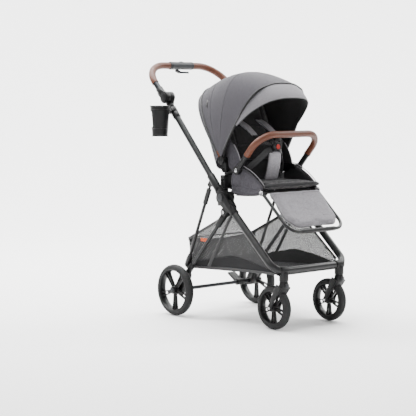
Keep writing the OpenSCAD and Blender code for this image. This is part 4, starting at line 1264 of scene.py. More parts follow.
def make_back(context):
    """Back pad with a head panel, sewn channels and a welt, and the cloth cover behind it."""
    seat = context.scene.stroller_seat
    lean = seat_lean(context)
    half, top = seat.back_half, seat.back_length
    front = 8.5 + 15
    corners = [(-half + 10, 20), (half - 10, 20), (half - 2, 70), (half - 2, top - 62), (half - 26, top - 24),
               (half - 64, top - 8), (-half + 64, top - 8), (-half + 26, top - 24), (-half + 2, top - 62),
               (-half + 2, 70)]
    outline = even_outline(rounded_outline(corners, 18, 4), 72)
    back = pad("back_cushion", outline, lambda u, v, h: lean.at(u, v, front + h), 25)
    puff(back, seat.swell)

    def local(p):
        d = p - lean.origin
        return d.x / MM, d.dot(lean.along) / MM

    def channels(p):
        x, s = local(p)
        side = abs(abs(x) - (half - 48 - 10 * math.sin(s / 110)))
        low = abs(s - 92 + abs(x) * 0.05) if abs(x) < half - 48 else 99
        return min(side, abs(s - 178 + abs(x) * 0.10), low)

    groove(back, channels, 3.2, 4.0)
    crease(back, 0.9)
    finish_piece(back, "back", "backrest", ["back_pad"], 70)
    welt = project_to(back, [lean.at(x * 1.03, s * 1.01, front) for x, s in outline], 0.4)
    piping("back_welt", resample(welt, 160, True), 3.0, "binding", "backrest", closed=True)

    # the cloth that joins the back cushion to the seat
    def skirt_point(u, v):
        foot = Vector(((-144 + 288 * u) * MM, 276 * MM, SEAT_TOP - 3 * MM))
        return foot.lerp(lean.at(-146 + 292 * u, 34, 18), v) - lean.out * 6 * MM * math.sin(math.pi * v)

    skirt = sheet("seat_back_skirt", skirt_point, 40, 12, thickness=2.0)
    finish_piece(skirt, "back", angle=60)
    skirt_point(0.5, 0)
    skirt_point(0.5, 1)
    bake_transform(skirt)

    # the cloth cover behind: it fills the hood's rear arch and is drawn over the back tube
    sizes = context.scene.stroller_hood
    turns = arch_turns(60)

    def cover(u, v):
        rim = hood_point(sizes, sizes.rear_angle, turn_at(turns, u), 0.6)
        x = rim.x / MM
        reach = math.hypot(rim.y - HOOD_PIVOT.y, rim.z - HOOD_PIVOT.z) / MM
        s = 34 + (reach - 6) * v
        low = lean.at(x * (0.80 + 0.2 * v ** 0.5), max(4, s * v), -12 - 16 * math.sin(math.pi * v) ** 0.8)
        blend = v ** 6
        return low.lerp(rim, blend) if v < 1 else rim

    rear = sheet("back_cover", cover, 60, 30, thickness=1.4)
    finish_piece(rear, "wing", "backrest", angle=60)


def make_shoulder_straps(context):
    """Shoulder pads and the webbing that runs through them from the backrest down to the buckle."""
    seat = context.scene.stroller_seat
    lean = seat_lean(context)
    low = node_box("shoulder_pads")[0]
    buckle_low, buckle_high = node_box("buckle")
    for side, sign in SIDES:
        x = sign * 61
        top = lean.at(x, 196, 40)
        end = Vector((x * MM, low.y - 4 * MM, low.z + 4 * MM))
        along = (end - top)
        span = along.length / MM
        along.normalize()
        out = Vector((0, -along.z, along.y))
        if out.y > 0:
            out = -out
        narrow = span * 0.55
        corners = [(-21, 0), (21, 0), (20, narrow), (17, span), (-17, span), (-20, narrow)]
        outline = rounded_outline(corners, [5, 5, 30, 9, 9, 30], 5)
        outline = even_outline(outline, 48)

        def place(u, v, h, top=top, along=along, out=out):
            lift = 5.0 * math.sin(math.pi * max(0, min(1, v / span)))
            return top + mm(u, 0, 0) + along * v * MM + out * (h + 7 + lift) * MM

        piece = pad(f"{side}_shoulder_pad", outline, place, 9)
        puff(piece, 3, voxel=3.5)
        crease(piece, 0.4, 40, 3 * sign)
        finish_piece(piece, "pads", "backrest", ["shoulder_pads"] if sign > 0 else (), 70)
        welt = project_to(piece, [place(u * 1.05, v, 0) for u, v in outline], 0.2)
        piping(f"{side}_shoulder_welt", resample(welt, 90, True), 2.0, "thread", "backrest", closed=True)
        catch = Vector((sign * 20 * MM, (buckle_low.y + buckle_high.y) / 2, buckle_high.z - 8 * MM))
        path = [lean.at(x, 236, 37), lean.at(x, 205, 41), place(0, span * 0.3, 1), place(0, span * 0.7, 1),
                place(0, span + 12, 0), end.lerp(catch, 0.45) + mm(0, 0, -6), catch]
        strap = sweep(f"{side}_shoulder_strap", smooth_path(path, 8), 0, flat=(seat.webbing * MM, 1.8 * MM),
                      up=out)
        finish_piece(strap, "webbing", "backrest", angle=50)
        slot = plate(f"{side}_strap_slot", rounded_outline([(-17, -4), (17, -4), (17, 4), (-17, 4)], 3),
                     lambda h, u, v: lean.at(x + u, 238 + v, 36 + h), 0, 3.2, 0.8, 2)
        finish_piece(slot, "moulded_black", "backrest")
        # slider on the strap, and the waist strap
        spot = place(0, span + 10, 2)
        frame_piece = plate(f"{side}_strap_slider",
                            rounded_outline([(-17, -9), (17, -9), (17, 9), (-17, 9)], 3),
                            lambda h, u, v: spot + mm(u, 0, 0) + along * v * MM + out * h * MM,
                            -2.2, 2.6, 1.0, 2)
        finish_piece(frame_piece, "moulded_black", "backrest")
        hip = [Vector((sign * 128 * MM, 262 * MM, SEAT_TOP + 34 * MM)),
               Vector((sign * 104 * MM, 226 * MM, SEAT_TOP + 52 * MM)),
               Vector((sign * 70 * MM, 190 * MM, SEAT_TOP + 92 * MM)),
               Vector((sign * 38 * MM, 168 * MM, SEAT_TOP + 128 * MM)), catch - mm(0, 0, 24)]
        waist = sweep(f"{side}_waist_strap", smooth_path(hip, 8), 0, flat=(seat.webbing * MM, 1.8 * MM),
                      up=(sign * 0.5, -0.8, 0.4))
        finish_piece(waist, "webbing", "seat_unit", angle=50)


def make_seat(context):
    """Seat cushion with its front roll, sewn channels, and the dark band at the front edge."""
    low, high = node_box("seat_pad")
    half = 139
    y0, y1 = low.y / MM, high.y / MM
    top = high.z / MM

    # a side profile that is swept across the seat, so the front edge rolls over
    profile = [(y0 + 2, top - 20), (y0 + 1.5, top - 8), (y0 + 7, top - 2), (y0 + 24, top), (y0 + 70, top + 1),
               (y0 + 130, top - 1), (y1 - 12, top + 1), (y1 - 3, top - 3), (y1 - 2, top - 26),
               (y0 + 40, top - 29), (y0 + 36, top - 23)]
    profile = even_outline(rounded_outline(profile, 4, 3), 64)
    rings = []
    for k in range(33):
        t = -1 + 2 * k / 32
        squeeze = (1 - abs(t) ** 6) ** 0.5
        ring = []
        for y, z in profile:
            mid = top - 14
            ring.append(mm(half * t, y, mid + (z - mid) * (0.55 + 0.45 * squeeze)))
        rings.append(ring)
    cushion = loft("seat_cushion", rings)
    puff(cushion, 4)

    def seams(p):
        x, y = p.x / MM, p.y / MM
        return min(abs(abs(x) - 62), abs(y - (y0 + 92 + 0.0006 * x * x)), abs(y - (y0 + 34)))

    groove(cushion, seams, 2.6, 4.0)
    crease(cushion, 0.8, seed=1.0)
    finish_piece(cushion, "seat", "seat_unit", ["seat_pad"], 70)

    # front band: a firm roll across the seat's front edge
    wide = 156
    path = []
    for k in range(49):
        t = -1 + 2 * k / 48
        y, z = y0 + 3 + 6 * abs(t) ** 8, top - 8 - 5 * abs(t) ** 6
        path.append(mm(wide * t, y, z))
    roll = sweep("seat_front_roll", path, lambda t: (9.2 - 2.4 * abs(2 * t - 1) ** 10) * MM, 20)
    crease(roll, 0.5, seed=2.0)
    finish_piece(roll, "seat", "seat_unit", angle=60)
    line = [p + mm(0, 3, 8.9) for p in path[2:-2]]
    stitches("seat_roll_stitches", line, (0, 0, 1), "thread", "seat_unit", 4.5)


def make_wings(context):
    """Side wings, grey outside and dark inside, with light piping, and the cloth behind them."""
    crest = [(232, 650), (212, 655), (190, 652), (168, 643), (147, 634), (120, 619), (96, 602), (77, 586),
             (64, 569)]
    base = [(70, 552), (100, 541), (160, 536), (226, 534), (262, 548), (270, 580), (266, 622)]
    for side, sign in SIDES:
        outline = even_outline(rounded_outline(crest + base, 10, 3), 96)
        wing = pad(f"{side}_wing", outline,
                   lambda u, v, h: mm(sign * (157.5 + h), u, v), 9, rings=9)
        puff(wing, 3, voxel=4.0)
        groove(wing, lambda p: p.z / MM - (530 + 0.06 * (p.y / MM) + 26), 2.0, 3.0)
        crease(wing, 0.7, seed=4.0 * sign)
        finish_piece(wing, "wing", "seat_unit", ["side_wings"] if sign > 0 else (), 70)
        lining = pad(f"{side}_wing_lining", outline,
                     lambda u, v, h: mm(sign * (147.0 + h), u * 0.985 + 2, v * 0.99 + 4),
                     9, rings=9)
        puff(lining, 3, voxel=4.0)
        finish_piece(lining, "seat", "seat_unit", angle=70)
        path = [mm(sign * 153.2, y, z + 2.5) for y, z in crest]
        piping(f"{side}_wing_piping", smooth_path(path, 6), 3.4, "level_light", "seat_unit")
        edge = [mm(sign * 160, y, z) for y, z in
                ((72, 551), (100, 539.5), (160, 534.5), (226, 532.5))]
        piping(f"{side}_wing_edge", smooth_path(edge, 6), 4.4, "binding", "seat_unit")
        rail = [mm(sign * 156.5, y, z) for y, z in
                ((76, 560), (110, 549), (160, 544), (222, 542), (256, 548))]
        cover = sweep(f"{side}_rail_cover", smooth_path(rail, 8), 9.0 * MM, 24)
        crease(cover, 0.4, seed=5.0 * sign)
        finish_piece(cover, "wing", "seat_unit", angle=60)

        # the side of the bucket: cloth from the wing back to the edge of the backrest
        lean = seat_lean(context)

        def gusset(u, v, sign=sign, lean=lean):
            fore = mm(sign * 148, 222 - 34 * v, 600 + 150 * v - 60 * v * v)
            if v > 0.35:
                fore.y += 120 * MM * (v - 0.35) ** 1.3
                fore.z += 80 * MM * (v - 0.35)
            aft = lean.at(sign * 151, 10 + 205 * v, 12)
            p = fore.lerp(aft, u)
            return p + Vector((sign * 3 * MM * math.sin(math.pi * u) * math.sin(math.pi * v), 0, 0))

        for layer, key, out in (("outer", "wing", 1.2), ("inner", "seat", -1.2)):
            panel = sheet(f"{side}_gusset_{layer}",
                          lambda u, v, s=sign * out: gusset(u, v) + mm(s, 0, 0),
                          20, 28, thickness=1.4)
            finish_piece(panel, key, angle=60)
            lean.at(0, 0, 70)
            lean.at(0, 60, 12)
            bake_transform(panel)
        edge_path = [gusset(0, k / 24) for k in range(25)]
        cord = sweep(f"{side}_gusset_binding", edge_path, 2.4 * MM, 10)
        finish_piece(cord, "level_light", angle=60)
        lean.at(0, 0, 70)
        lean.at(0, 60, 12)
        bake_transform(cord)


def make_crotch(context):
    """Crotch pad, its webbing, and the five-point buckle."""
    low, high = node_box("crotch_pad")
    foot = Vector((0, 192 * MM, low.z))
    tip = Vector((0, 163 * MM, high.z - 1 * MM))
    along = tip - foot
    span = along.length / MM
    along.normalize()
    out = Vector((0, -along.z, along.y))
    corners = [(-33, 2), (33, 2), (35, span * 0.5), (32, span - 2), (-32, span - 2), (-35, span * 0.5)]
    outline = rounded_outline(corners, [3, 3, 40, 16, 16, 40], 6)
    outline = even_outline(outline, 60)

    def place(u, v, h):
        bow = 4 * math.sin(math.pi * v / span)
        return foot + mm(u, 0, 0) + along * v * MM + out * (h + bow) * MM

    piece = pad("crotch_cushion", outline, place, 24)
    puff(piece, 4, voxel=3.5)
    groove(piece, lambda p: abs(p.x / MM) - 15, 1.2, 2.5)
    crease(piece, 0.5, 40, 7)
    finish_piece(piece, "pads", "seat_unit", ["crotch_pad"], 70)
    welt = project_to(piece, [place(u * 1.05, v, 0) for u, v in outline], 0.2)
    piping("crotch_welt", resample(welt, 100, True), 2.0, "thread", "seat_unit", closed=True)

    low, high = node_box("buckle")
    y_front = low.y / MM
    mid_z = (low.z + high.z) / 2 / MM

    def on_buckle(h, u, v):
        return mm(u, y_front + h, mid_z + v)

    corners = [(-15, -17), (15, -17), (26, -4), (26, 9), (14, 17), (-14, 17), (-26, 9), (-26, -4)]
    body = plate("buckle_body", rounded_outline(corners, 6, 5), on_buckle, 1.5, 21, 2.6, 4)
    rim_points = [(1.6, 9.8), (0.4, 10.4), (0.2, 12.2), (1.8, 13.6), (4, 13.6), (4, 9.8), (1.6, 9.8)]
    rim = turned("buckle_rim", rim_points, (0, y_front * MM, mid_z * MM - 1 * MM), 48, "Y")
    tongues = []
    for s in (1, -1):
        outline = rounded_outline([(s * 12, 8), (s * 30, 8), (s * 34, 22), (s * 16, 24)], 3)
        tongues.append(plate(f"tongue_{s}", outline, on_buckle, 6, 15, 1.5, 3))
    case = join("buckle_case", [body, rim] + tongues)
    finish_piece(case, "moulded_black", "seat_unit", ["buckle"], 35)
    frame["nodes"]["buckle_button"].data.materials[0] = material("red")


def make_footrest(context):
    """Calf support: a padded cover over the bent tube, with a hem seam, and the black bar at its foot."""
    seat = context.scene.stroller_seat
    lean = Lean(FOOT_PIVOT, seat.footrest_angle)
    reach = seat.footrest_length
    up = -1.0
    corners = [(-149, 10), (149, 10), (155, 110), (153, reach - 58), (112, reach - 11), (-112, reach - 11),
               (-153, reach - 58), (-155, 110)]
    outline = even_outline(rounded_outline(corners, [5, 5, 40, 34, 30, 30, 34, 40], 6), 110)

    def place(u, v, h):
        rise = 13 * max(0.0, 1 - v / 150) ** 1.4
        return lean.at(u, v, up * (6.0 + rise + h))

    cover = pad("footrest_cushion", outline, place, 22, rings=10)
    puff(cover, seat.swell, voxel=5.0)

    def local(p):
        d = p - lean.origin
        return d.x / MM, d.dot(lean.along) / MM

    groove(cover, lambda p: abs(local(p)[1] - 40), 2.6, 2.6)
    crease(cover, 1.1, 22, 9)
    finish_piece(cover, "footrest", "footrest", ["footrest_pad"], 70)
    welt = project_to(cover, [place(u * 1.02, v, 3.0) for u, v in outline], 0.3)
    piping("footrest_welt", resample(welt, 220, True), 2.6, "thread", "footrest", closed=True)
    for s in (35.5, 44.5):
        line = project_to(cover, [place(-146 + 292 * k / 60, s, 20 * up * -1) for k in range(61)], 0.3)
        stitches(f"footrest_stitches_{int(s)}", line, lean.out * up, "thread", "footrest", 4.5)
    # sewn label without any mark
    spot = [(58, reach - 62), (98, reach - 62), (98, reach - 55), (58, reach - 55)]
    label = project_to(cover, [place(u, v, 20) for u, v in spot], 0.5)
    tab = plate("footrest_label", [(0, 0), (1, 0), (1, 1), (0, 1)],
                lambda h, u, v: label[0].lerp(label[1], u).lerp(label[3].lerp(label[2], u), v)
                + lean.out * up * h * MM, -0.3, 0.5, 0.2, 2)
    finish_piece(tab, "level_light", "footrest")
    # the foot bar's plastic sleeve
    path = [lean.at(-100 + 200 * k / 16, reach, 0) for k in range(17)]
    bar = sweep("footrest_bar", path, lambda t: (9.6 - 1.2 * abs(2 * t - 1) ** 12) * MM, 24)
    finish_piece(bar, "moulded_black", "footrest")
    for side, sign in SIDES:
        disc = turned(f"{side}_footrest_disc", [(0, 0.01), (0, 10.5), (sign * 2.6, 10.5), (sign * 3.6, 9.4),
                                                (sign * 3.6, 6), (sign * 3.0, 5.2), (sign * 3.0, 0.01)],
                      FOOT_PIVOT + mm(sign * 165, 0, 0), 40)
        finish_piece(disc, "bright_metal", "footrest")
        stud = turned(f"{side}_bumper_button", [(0, 0.01), (0, 8), (sign * 1.6, 8), (sign * 2.6, 6.6),
                                                (sign * 2.6, 0.01)],
                      BUMPER_PIVOT + mm(sign * 187, 0, 0), 32)
        finish_piece(stud, "bright_metal", "bumper")


# ---------------------------------------------------------------- bumper, handle and cup holder

def u_path(lean, half, length, corner, off=0.0, start=0.0):
    """The bent bar's centre line, from the left foot round to the right foot."""
    points = [lean.at(half, start + (length - corner - start) * k / 12, off) for k in range(12)]
    for sign in (1, -1):
        for k in range(17):
            a = math.radians(90 * k / 16 if sign > 0 else 90 - 90 * k / 16)
            x = sign * (half - corner + corner * math.cos(a))
            points.append(lean.at(x, length - corner + corner * math.sin(a), off))
    points += [lean.at(-half, length - corner - (length - corner - start) * k / 12, off)
               for k in range(1, 13)]
    return points


def along_range(points, low, high):
    """The stretch of a path between two lengths, in metres."""
    fine = resample(points, 600)
    total = sum((b - a).length for a, b in zip(fine, fine[1:]))
    return [p for i, p in enumerate(fine) if low <= total * i / 599 <= high], total


def leather_grip(name, path, radius, body, replaces, seam_side):
    """Leather sewn round a bar: soft ends, a raised seam on one side, and stitches along it."""
    count = len(path) - 1

    def bulge(t):
        end = min(t, 1 - t) * count
        return radius * (0.93 + 0.07 * min(1.0, end / 3)) * MM

    skin = sweep(name, path, bulge, 40)
    crease(skin, 0.35, 30, 2)
    finish_piece(skin, "leather", body, replaces, 60)
    side = Vector(seam_side).normalized()
    seam = [p + side * (radius - 0.1) * MM for p in path[2:-2]]
    ridge = sweep(f"{name}_seam", seam, 0.7 * MM, 8)
    finish_piece(ridge, "leather", body, angle=60)
    tangent = (path[len(path) // 2 + 1] - path[len(path) // 2 - 1]).normalized()
    for s in (-1, 1):
        run = [p + side * (radius - 0.2) * MM for p in path[2:-2]]
        offset = side.cross(tangent).normalized() * s * 2.6 * MM
        stitches(f"{name}_stitches_{'a' if s > 0 else 'b'}", [p + offset for p in run], side, "tan_thread",
                 body, 4.2)
    for index, at in ((0, 1), (1, -2)):
        t = (path[at] - path[at - 1 if at > 0 else at + 1]).normalized()
        if at < 0:
            t = (path[-1] - path[-3]).normalized()
        ring = sweep(f"{name}_end_{index}", [path[at] - t * 1.6 * MM, path[at] + t * 1.6 * MM],
                     (radius + 0.25) * MM, 36)
        finish_piece(ring, "leather", body, angle=60)


def make_bumper(context):
    lean = Lean(BUMPER_PIVOT, 132)
    whole = u_path(lean, 178, 200, 82)
    total = along_range(whole, 0, 9)[1]
    cut = 81 * MM
    path, total = along_range(whole, cut, total - cut)
    leather_grip("bumper_leather", resample(path, 90), 14, "bumper", ["bumper_grip"],
                 -lean.along - Vector((0, 0, 0.9)))
    # clips where the leather ends and the arm joints
    for side, sign in SIDES:
        a = lean.at(sign * 178, 76, 0)
        b = lean.at(sign * 178, 84, 0)
        clip = sweep(f"{side}_bumper_clip", [a, b], 14.8 * MM, 32)
        bevel_edges(clip, 1.2, 3)
        finish_piece(clip, "moulded_black", "bumper")


def make_handle(context):
    lean = Lean(HANDLE_PIVOT, 43.8)
    whole = u_path(lean, 214, 215, 115, off=-10)
    total = along_range(whole, 0, 9)[1]
    start = 98 * MM
    middle = total / 2
    for side, low, high in (("left", start, middle - 66 * MM), ("right", middle + 66 * MM, total - start)):
        path, _ = along_range(whole, low, high)
        leather_grip(f"{side}_handle_leather", resample(path, 70), 15, "handle",
                     ["handle_grips"] if side == "left" else (), -lean.along * 0.5 + lean.out * -0.85)
    # a thumb plate on the console with the one-hand slider's track
    centre = lean.at(0, 215, -10)
    shell = sweep("console_shell", [centre + mm(x, 0, 0) for x in (-66, -64.5, -62, 62, 64.5, 66)],
                  lambda t: (17.4 if 0.1 < t < 0.9 else 16.2) * MM, 56)
    bevel_edges(shell, 1.0, 2)
    finish_piece(shell, "moulded_grey", "handle")
    rear = lean.along
    plate_points = rounded_outline([(-40, -7), (40, -7), (40, 7), (-40, 7)], 6.5, 6)

    def on_shell(h, u, v):
        bend = 17.0 - 17.6 * (1 - math.cos(v / 17.6))
        return centre + mm(u, 0, 0) + (rear * (bend + h) + lean.out * v * -1) * MM

    inset = plate("console_plate", plate_points, on_shell, 0.0, 1.6, 0.6, 3)
    finish_piece(inset, "grey_metal", "handle")
    for s in (-1, 1):
        band = sweep(f"console_band_{'a' if s > 0 else 'b'}",
                     [centre + mm(s * x, 0, 0) for x in (57, 60)], 17.9 * MM, 48)
        finish_piece(band, "moulded_black", "handle")


def make_cup_holder(context):
    """Open cup with a window in its side, on an arm clipped to the handle tube."""
    low, high = node_box("cup_holder")
    cx, cy = -268 * MM, 595.1 * MM
    z0, z1 = low.z / MM, high.z / MM
    steps, around = 40, 96
    window = math.radians(139)

    def radius(z):
        t = (z - z0) / (z1 - z0)
        return 33 + 9 * t

    bm = bmesh.new()
    grid = []
    for i in range(steps + 1):
        z = z0 + 6 + (z1 - z0 - 6) * i / steps
        grid.append([bm.verts.new((cx + radius(z) * MM * math.cos(2 * math.pi * k / around),
                                   cy + radius(z) * MM * math.sin(2 * math.pi * k / around), z * MM))
                     for k in range(around)])
    for i in range(steps):
        for k in range(around):
            z = z0 + 6 + (z1 - z0 - 6) * (i + 0.5) / steps
            a = (2 * math.pi * (k + 0.5) / around - window + math.pi) % (2 * math.pi) - math.pi
            if abs(a) < 0.62 and z0 + 40 < z < z0 + 106 and abs(a) / 0.62 + abs(z - z0 - 73) / 33 < 1.75:
                continue
            n = (k + 1) % around
            bm.faces.new((grid[i][k], grid[i][n], grid[i + 1][n], grid[i + 1][k]))
    bm.faces.new(list(reversed(grid[0])))
    wall = from_bmesh("cup_wall", bm)
    modify(wall, "SOLIDIFY", thickness=2.2 * MM, offset=-1)
    bevel_edges(wall, 0.5, 2)
    lip_points = [(z1 - 3, 42.2), (z1 - 4, 43.6), (z1 - 1.2, 44.4), (z1 + 0.4, 43.2), (z1 + 0.2, 40.6),
                  (z1 - 3, 39.8), (z1 - 3, 42.2)]
    lip = turned("cup_lip", lip_points, (cx, cy, 0), around, "Z")
    foot_points = [(z0, 0.01), (z0, 30), (z0 + 1, 32.4), (z0 + 7, 33.6), (z0 + 8, 33.0), (z0 + 8, 0.01)]
    foot = turned("cup_foot", foot_points, (cx, cy, 0), around, "Z")
    ribs = []
    for k, h in enumerate((32, 114)):
        wall_r = 33 + 9 * h / (z1 - z0)
        rib = [(z0 + h, wall_r - 0.5), (z0 + h + 1, wall_r + 1.2), (z0 + h + 2, wall_r - 0.5)]
        ribs.append(turned(f"cup_rib_{k}", rib, (cx, cy, 0), around, "Z"))
    cup = join("cup_holder_shell", [wall, lip, foot] + ribs)
    finish_piece(cup, "moulded_black", "telescope", angle=35)


# ---------------------------------------------------------------- basket

def basket_points():
    """Rows of the basket side's outline, from the low front lip back to the rear panel, as (y, z) pairs."""
    top = [(-12, 262), (60, 322), (140, 388), (217, 449), (231, 461), (320, 420), (410, 377), (500, 333)]
    low = [(-30, 231), (40, 228.5), (120, 224.5), (215, 219.5), (240, 218.5), (320, 214.5), (402, 211),
           (483, 207)]
    return top, low


def curve_at(points, t):
    k = t * (len(points) - 1)
    i = min(len(points) - 2, int(k))
    f = k - i
    return tuple(a + (b - a) * f for a, b in zip(points[i], points[i + 1]))


def make_basket(context):
    """Net sides and back on a dark cloth tray, bound with tape and hung on the frame."""
    top, low = basket_points()
    half = 187.6

    def side_point(sign):
        def point(u, v):
            a, b = curve_at(low, u), curve_at(top, u)
            y, z = a[0] + (b[0] - a[0]) * v, a[1] + (b[1] - a[1]) * v
            sag = math.sin(math.pi * u) ** 0.8 * math.sin(math.pi * min(1, v)) ** 0.9
            wave = noise.noise(Vector((y * 0.012, z * 0.014, sign * 3.0)))
            return mm(sign * (half - 2.5 * sag + 2.0 * wave * sag), y, z)
        return point

    def back_point(u, v):
        x = (-half + 2 * half * u)
        dip = 16 * math.sin(math.pi * u) * v ** 2
        y = 483 + 17 * v - 3 * math.sin(math.pi * u) * math.sin(math.pi * v)
        z = 207 + (333 - 207) * v - dip
        return mm(x, y, z)

    def floor_point(u, v):
        x = -half + 2 * half * u
        y = -31 + (483 + 31) * v
        z = 231.5 - (231.5 - 207) * v - 5 * math.sin(math.pi * u) * math.sin(math.pi * v) ** 0.7
        return mm(x, y, z)

    def front_point(u, v):
        """The tray's cloth turns up and round the front bar."""
        x = -half + 2 * half * u
        a = math.radians(-110 + 70 * v)
        r = 17.2
        y, z = -51 + r * math.cos(a), 244 + r * math.sin(a)
        if v < 0.12:
            y, z = -31 + (y + 31) * v / 0.12, 231.5 + (z - 231.5) * v / 0.12
        return mm(x, y, z)

    def band_top(u):
        """How far up the side the tray's dark cloth rises, as a share of the side's height."""
        return 0.02 + 0.30 * (1 - 0.35 * u)

    for side, sign in SIDES:
        net = sheet(f"{side}_basket_net", side_point(sign), 84, 24)
        finish_piece(net, "net", "chassis", ["basket"] if sign > 0 else (), 60)

        for name, height, wide in (("top", 0.985, 11), ("low", 0.03, 10)):
            path = [side_point(sign)(k / 64, height) + mm(sign * 1.6, 0, 0) for k in range(65)]
            strip = sweep(f"{side}_basket_{name}_tape", resample(path, 100), 0, flat=(wide * MM, 2.2 * MM),
                          up=(sign, 0, 0))
            finish_piece(strip, "binding", "chassis", angle=50)
        band = sheet(f"{side}_basket_band",
                     lambda u, v, s=sign: side_point(s)(u, band_top(u) * v)
                     + mm(s * 0.9, 0, 0), 70, 8, thickness=1.0)
        finish_piece(band, "band", "chassis", angle=60)
        line = [side_point(sign)(u, band_top(u) * 0.93) + mm(sign * 2.0, 0, 0)
                for u in [k / 80 for k in range(2, 79)]]
        stitches(f"{side}_basket_stitches", line, (sign, 0, 0), "thread", "chassis", 4.5)
        # strap that runs down from the side tube to the tray
        a, b = side_point(sign)(0.50, 0.99), side_point(sign)(0.80, 0.05)
        path = [a.lerp(b, k / 12) + mm(sign * 2.2, 0, 0) for k in range(13)]
        strap = sweep(f"{side}_basket_strap", path, 0, flat=(16 * MM, 1.6 * MM), up=(sign, 0, 0))
        finish_piece(strap, "binding", "chassis", angle=50)
        for k, (u, v) in enumerate(((0.50, 0.965), (0.12, 0.9), (0.985, 0.9))):
            spot = side_point(sign)(u, v)
            profile = [(0, 0.01), (0, 6.5), (sign * 1.6, 6.2), (sign * 2.6, 4.4), (sign * 2.6, 0.01)]
            stud = turned(f"{side}_basket_stud_{k}", profile, spot + mm(sign * 2.0, 0, 0), 32)
            finish_piece(stud, "moulded_black", "chassis")
    back = sheet("basket_back_net", back_point, 60, 20)
    finish_piece(back, "net", "chassis", angle=60)
    path = [back_point(k / 60, 0.98) + mm(0, 1.4, 0) for k in range(61)]
    rim = sweep("basket_back_tape", path, 0, flat=(12 * MM, 2.4 * MM), up=(0, 1, 0))
    finish_piece(rim, "binding", "chassis", angle=50)
    band = sheet("basket_back_band", lambda u, v: back_point(u, 0.26 * v) + mm(0, 1.0, 0), 48, 6,
                 thickness=1.0)
    finish_piece(band, "band", "chassis", angle=60)
    floor = sheet("basket_tray", floor_point, 40, 44, thickness=2.4)
    crease(floor, 0.8, 30)
    finish_piece(floor, "band", "chassis", angle=60)
    wrap = sheet("basket_front_wrap", front_point, 48, 20, thickness=1.4)
    crease(wrap, 0.4, 30, 3)
    finish_piece(wrap, "band", "chassis", angle=60)
    line = [front_point(k / 90, 0.12) + mm(0, -1.4, -0.6) for k in range(2, 89)]
    stitches("basket_front_stitches", line, (0, -0.6, -1), "thread", "chassis", 4.5)
    tab = plate("basket_tab", rounded_outline([(-22, -7), (22, -7), (22, 7), (-22, 7)], 1.5),
                lambda h, u, v: mm(-(190.2 + h), 395 + u, 335 + v), 0, 1.6, 0.4, 2)
    finish_piece(tab, "orange", "chassis")


# ---------------------------------------------------------------- stage

def make_stage(context):
    """A pale sweep behind the stroller, a large soft light overhead, weaker ones beside it, the camera."""
    scene = context.scene
    view, across = Vector((0.661, 0.750, 0)), Vector((0.750, -0.661, 0))
    profile = [(-7.0, 0.0), (-3.0, 0.0), (0.0, 0.0), (3.0, 0.0)]
    profile += [(3.0 + 2.6 * math.sin(a), 2.6 - 2.6 * math.cos(a)) for a in
                (math.radians(90 * k / 24) for k in range(1, 25))]
    profile.append((5.6, 7.0))
    points = [view * d + across * w + Vector((0, 0, z)) for d, z in profile for w in (-8.0, 8.0)]
    mesh = bpy.data.meshes.new("sweep")
    mesh.from_pydata(points, [], [(2 * i, 2 * i + 1, 2 * i + 3, 2 * i + 2) for i in range(len(profile) - 1)])
    ground = bpy.data.objects.new("sweep", mesh)
    scene.collection.objects.link(ground)
    for face in mesh.polygons:
        face.use_smooth = True
    mesh.materials.append(material_floor())

    world = bpy.data.worlds.new("studio")
    world.use_nodes = True
    back = world.node_tree.nodes["Background"]
    back.inputs["Color"].default_value = (1.0, 1.0, 1.0, 1)
    back.inputs["Strength"].default_value = 0.8
    scene.world = world

    target = Vector((0, 0.25, 0.55))
    wall = view * 5.6 + Vector((0, 0, 1.4))
    high = view * 2.2 + Vector((0, 0, 4.2))
    for name, spot, aim, power, wide in (
            ("top", (0.1, 1.1, 3.9), target, 470, 3.2), ("key", (-3.2, 0.2, 3.0), target, 55, 2.0),
            ("fill", (1.8, -3.6, 2.2), target, 26, 3.0), ("front", (-2.6, -2.6, 0.9), target, 10, 2.0),
            ("wall_left", high - across * 3.4, wall - across * 1.2, 520, 3.0),
            ("wall_right", high + across * 3.4, wall + across * 1.2, 520, 3.0)):
        light = bpy.data.lights.new(name, "AREA")
        light.energy = power
        light.size = wide
        lamp = bpy.data.objects.new(name, light)
        lamp.location = spot
        lamp.rotation_euler = (aim - Vector(spot)).to_track_quat("-Z", "Y").to_euler()
        scene.collection.objects.link(lamp)

    camera = bpy.data.cameras.new("camera")
    camera.lens = 112.4
    camera.sensor_width = 36
    camera.clip_end = 50
    eye = bpy.data.objects.new("camera", camera)
    eye.location = (-3.8018, -3.7246, 0.950)
    eye.rotation_euler = Vector((0.6588, 0.7473, -0.0872)).to_track_quat("-Z", "Y").to_euler()
    scene.collection.objects.link(eye)
    scene.camera = eye


def material_floor():
    material, _, bsdf = new_material("Studio Floor", 0.85)
    bsdf.inputs["Base Color"].default_value = (0.93, 0.93, 0.925, 1)
    return material


# ---------------------------------------------------------------- operators

class BuildStep(bpy.types.Operator):
    """One group of pieces"""
    bl_idname = "stroller.step"
    bl_label = "Build"
    bl_options = {"REGISTER"}
    work = None

    def execute(self, context):
        type(self).work(context)
        return {"FINISHED"}


def step(name, label, words, work):
    return type("STROLLER_OT_" + name, (BuildStep,), {
        "__doc__": words, "bl_idname": "stroller." + name, "bl_label": label, "work": staticmethod(work)})


def build_wheels(context):
    for name in ("rear_left", "rear_right", "front_left", "front_right"):
        centre = REAR_AXLE if name.startswith("rear") else FRONT_AXLE
        low, high = node_box(name + "_tyre")
        sign = 1 if name.endswith("left") else -1
        radius = 111 if name.startswith("rear") else 90.6
        make_wheel(context, name, Vector(((low.x + high.x) / 2, centre.y, centre.z)), radius,
                   (sign,) if name.startswith("rear") else ())


def build_frame(context):
    finish_frame()
    make_rivets()
    for side, sign in SIDES:
        make_fork(side, sign)


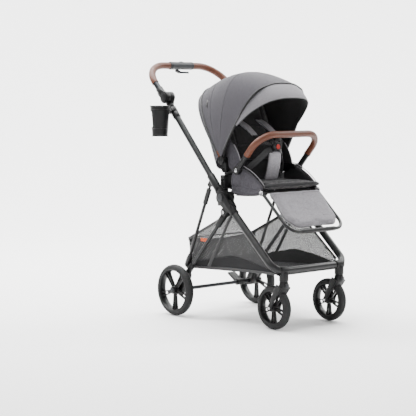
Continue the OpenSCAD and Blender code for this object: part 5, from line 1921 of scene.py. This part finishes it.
STEPS = [
    step("frame", "Frame and fittings", "Tubes, joints and moulded fittings, with the two caster forks",
         build_frame),
    step("wheels", "Wheels", "Rims with ribbed spokes, and tyres with a fine tread", build_wheels),
    step("basket", "Basket", "Net sides, dark tray and binding of the storage basket", make_basket),
    step("bumper", "Bumper", "Leather cover and joints of the bumper bar", make_bumper),
    step("handle", "Handle", "Leather grips, console and its plate on the handle", make_handle),
    step("cup_holder", "Cup holder", "Open cup with a window in its side", make_cup_holder),
    step("seat", "Seat", "Seat cushion with its front roll", make_seat),
    step("wings", "Side wings", "Padded sides of the seat with light piping", make_wings),
    step("back", "Backrest", "Back cushion and the cloth cover behind it", make_back),
    step("crotch", "Crotch pad", "Crotch pad and harness buckle", make_crotch),
    step("straps", "Harness", "Shoulder pads, straps and sliders", make_shoulder_straps),
    step("footrest", "Footrest", "Padded calf support and its foot bar", make_footrest),
    step("hood", "Hood", "Hood cloth, lining, seams and piping", make_hood),
    step("visor", "Visor", "Sun visor with its binding", make_visor),
    step("stage", "Stage", "Floor, lights and camera", make_stage),
]


class STROLLER_PT_panel(bpy.types.Panel):
    """Lists the build steps and the sizes"""
    bl_label = "Baby Stroller"
    bl_space_type = "VIEW_3D"
    bl_region_type = "UI"
    bl_category = "Stroller"

    def draw(self, context):
        layout = self.layout
        for operator in STEPS:
            layout.operator(operator.bl_idname)
        for group in SETTINGS:
            box = layout.box()
            values = getattr(context.scene, group)
            for name in values.__annotations__:
                box.prop(values, name)


SETTINGS = {"stroller_hood": StrollerHood, "stroller_seat": StrollerSeat, "stroller_wheels": StrollerWheels,
            "stroller_colours": StrollerColours}
CLASSES = [*SETTINGS.values(), *STEPS, STROLLER_PT_panel]


def register():
    for entry in CLASSES:
        bpy.utils.register_class(entry)
    for name, group in SETTINGS.items():
        setattr(bpy.types.Scene, name, bpy.props.PointerProperty(type=group))


def unregister():
    for name in SETTINGS:
        delattr(bpy.types.Scene, name)
    for entry in reversed(CLASSES):
        bpy.utils.unregister_class(entry)


def main():
    register()
    for operator in STEPS:
        getattr(bpy.ops.stroller, operator.bl_idname.split(".")[1])()


if __name__ == "__main__":
    main()
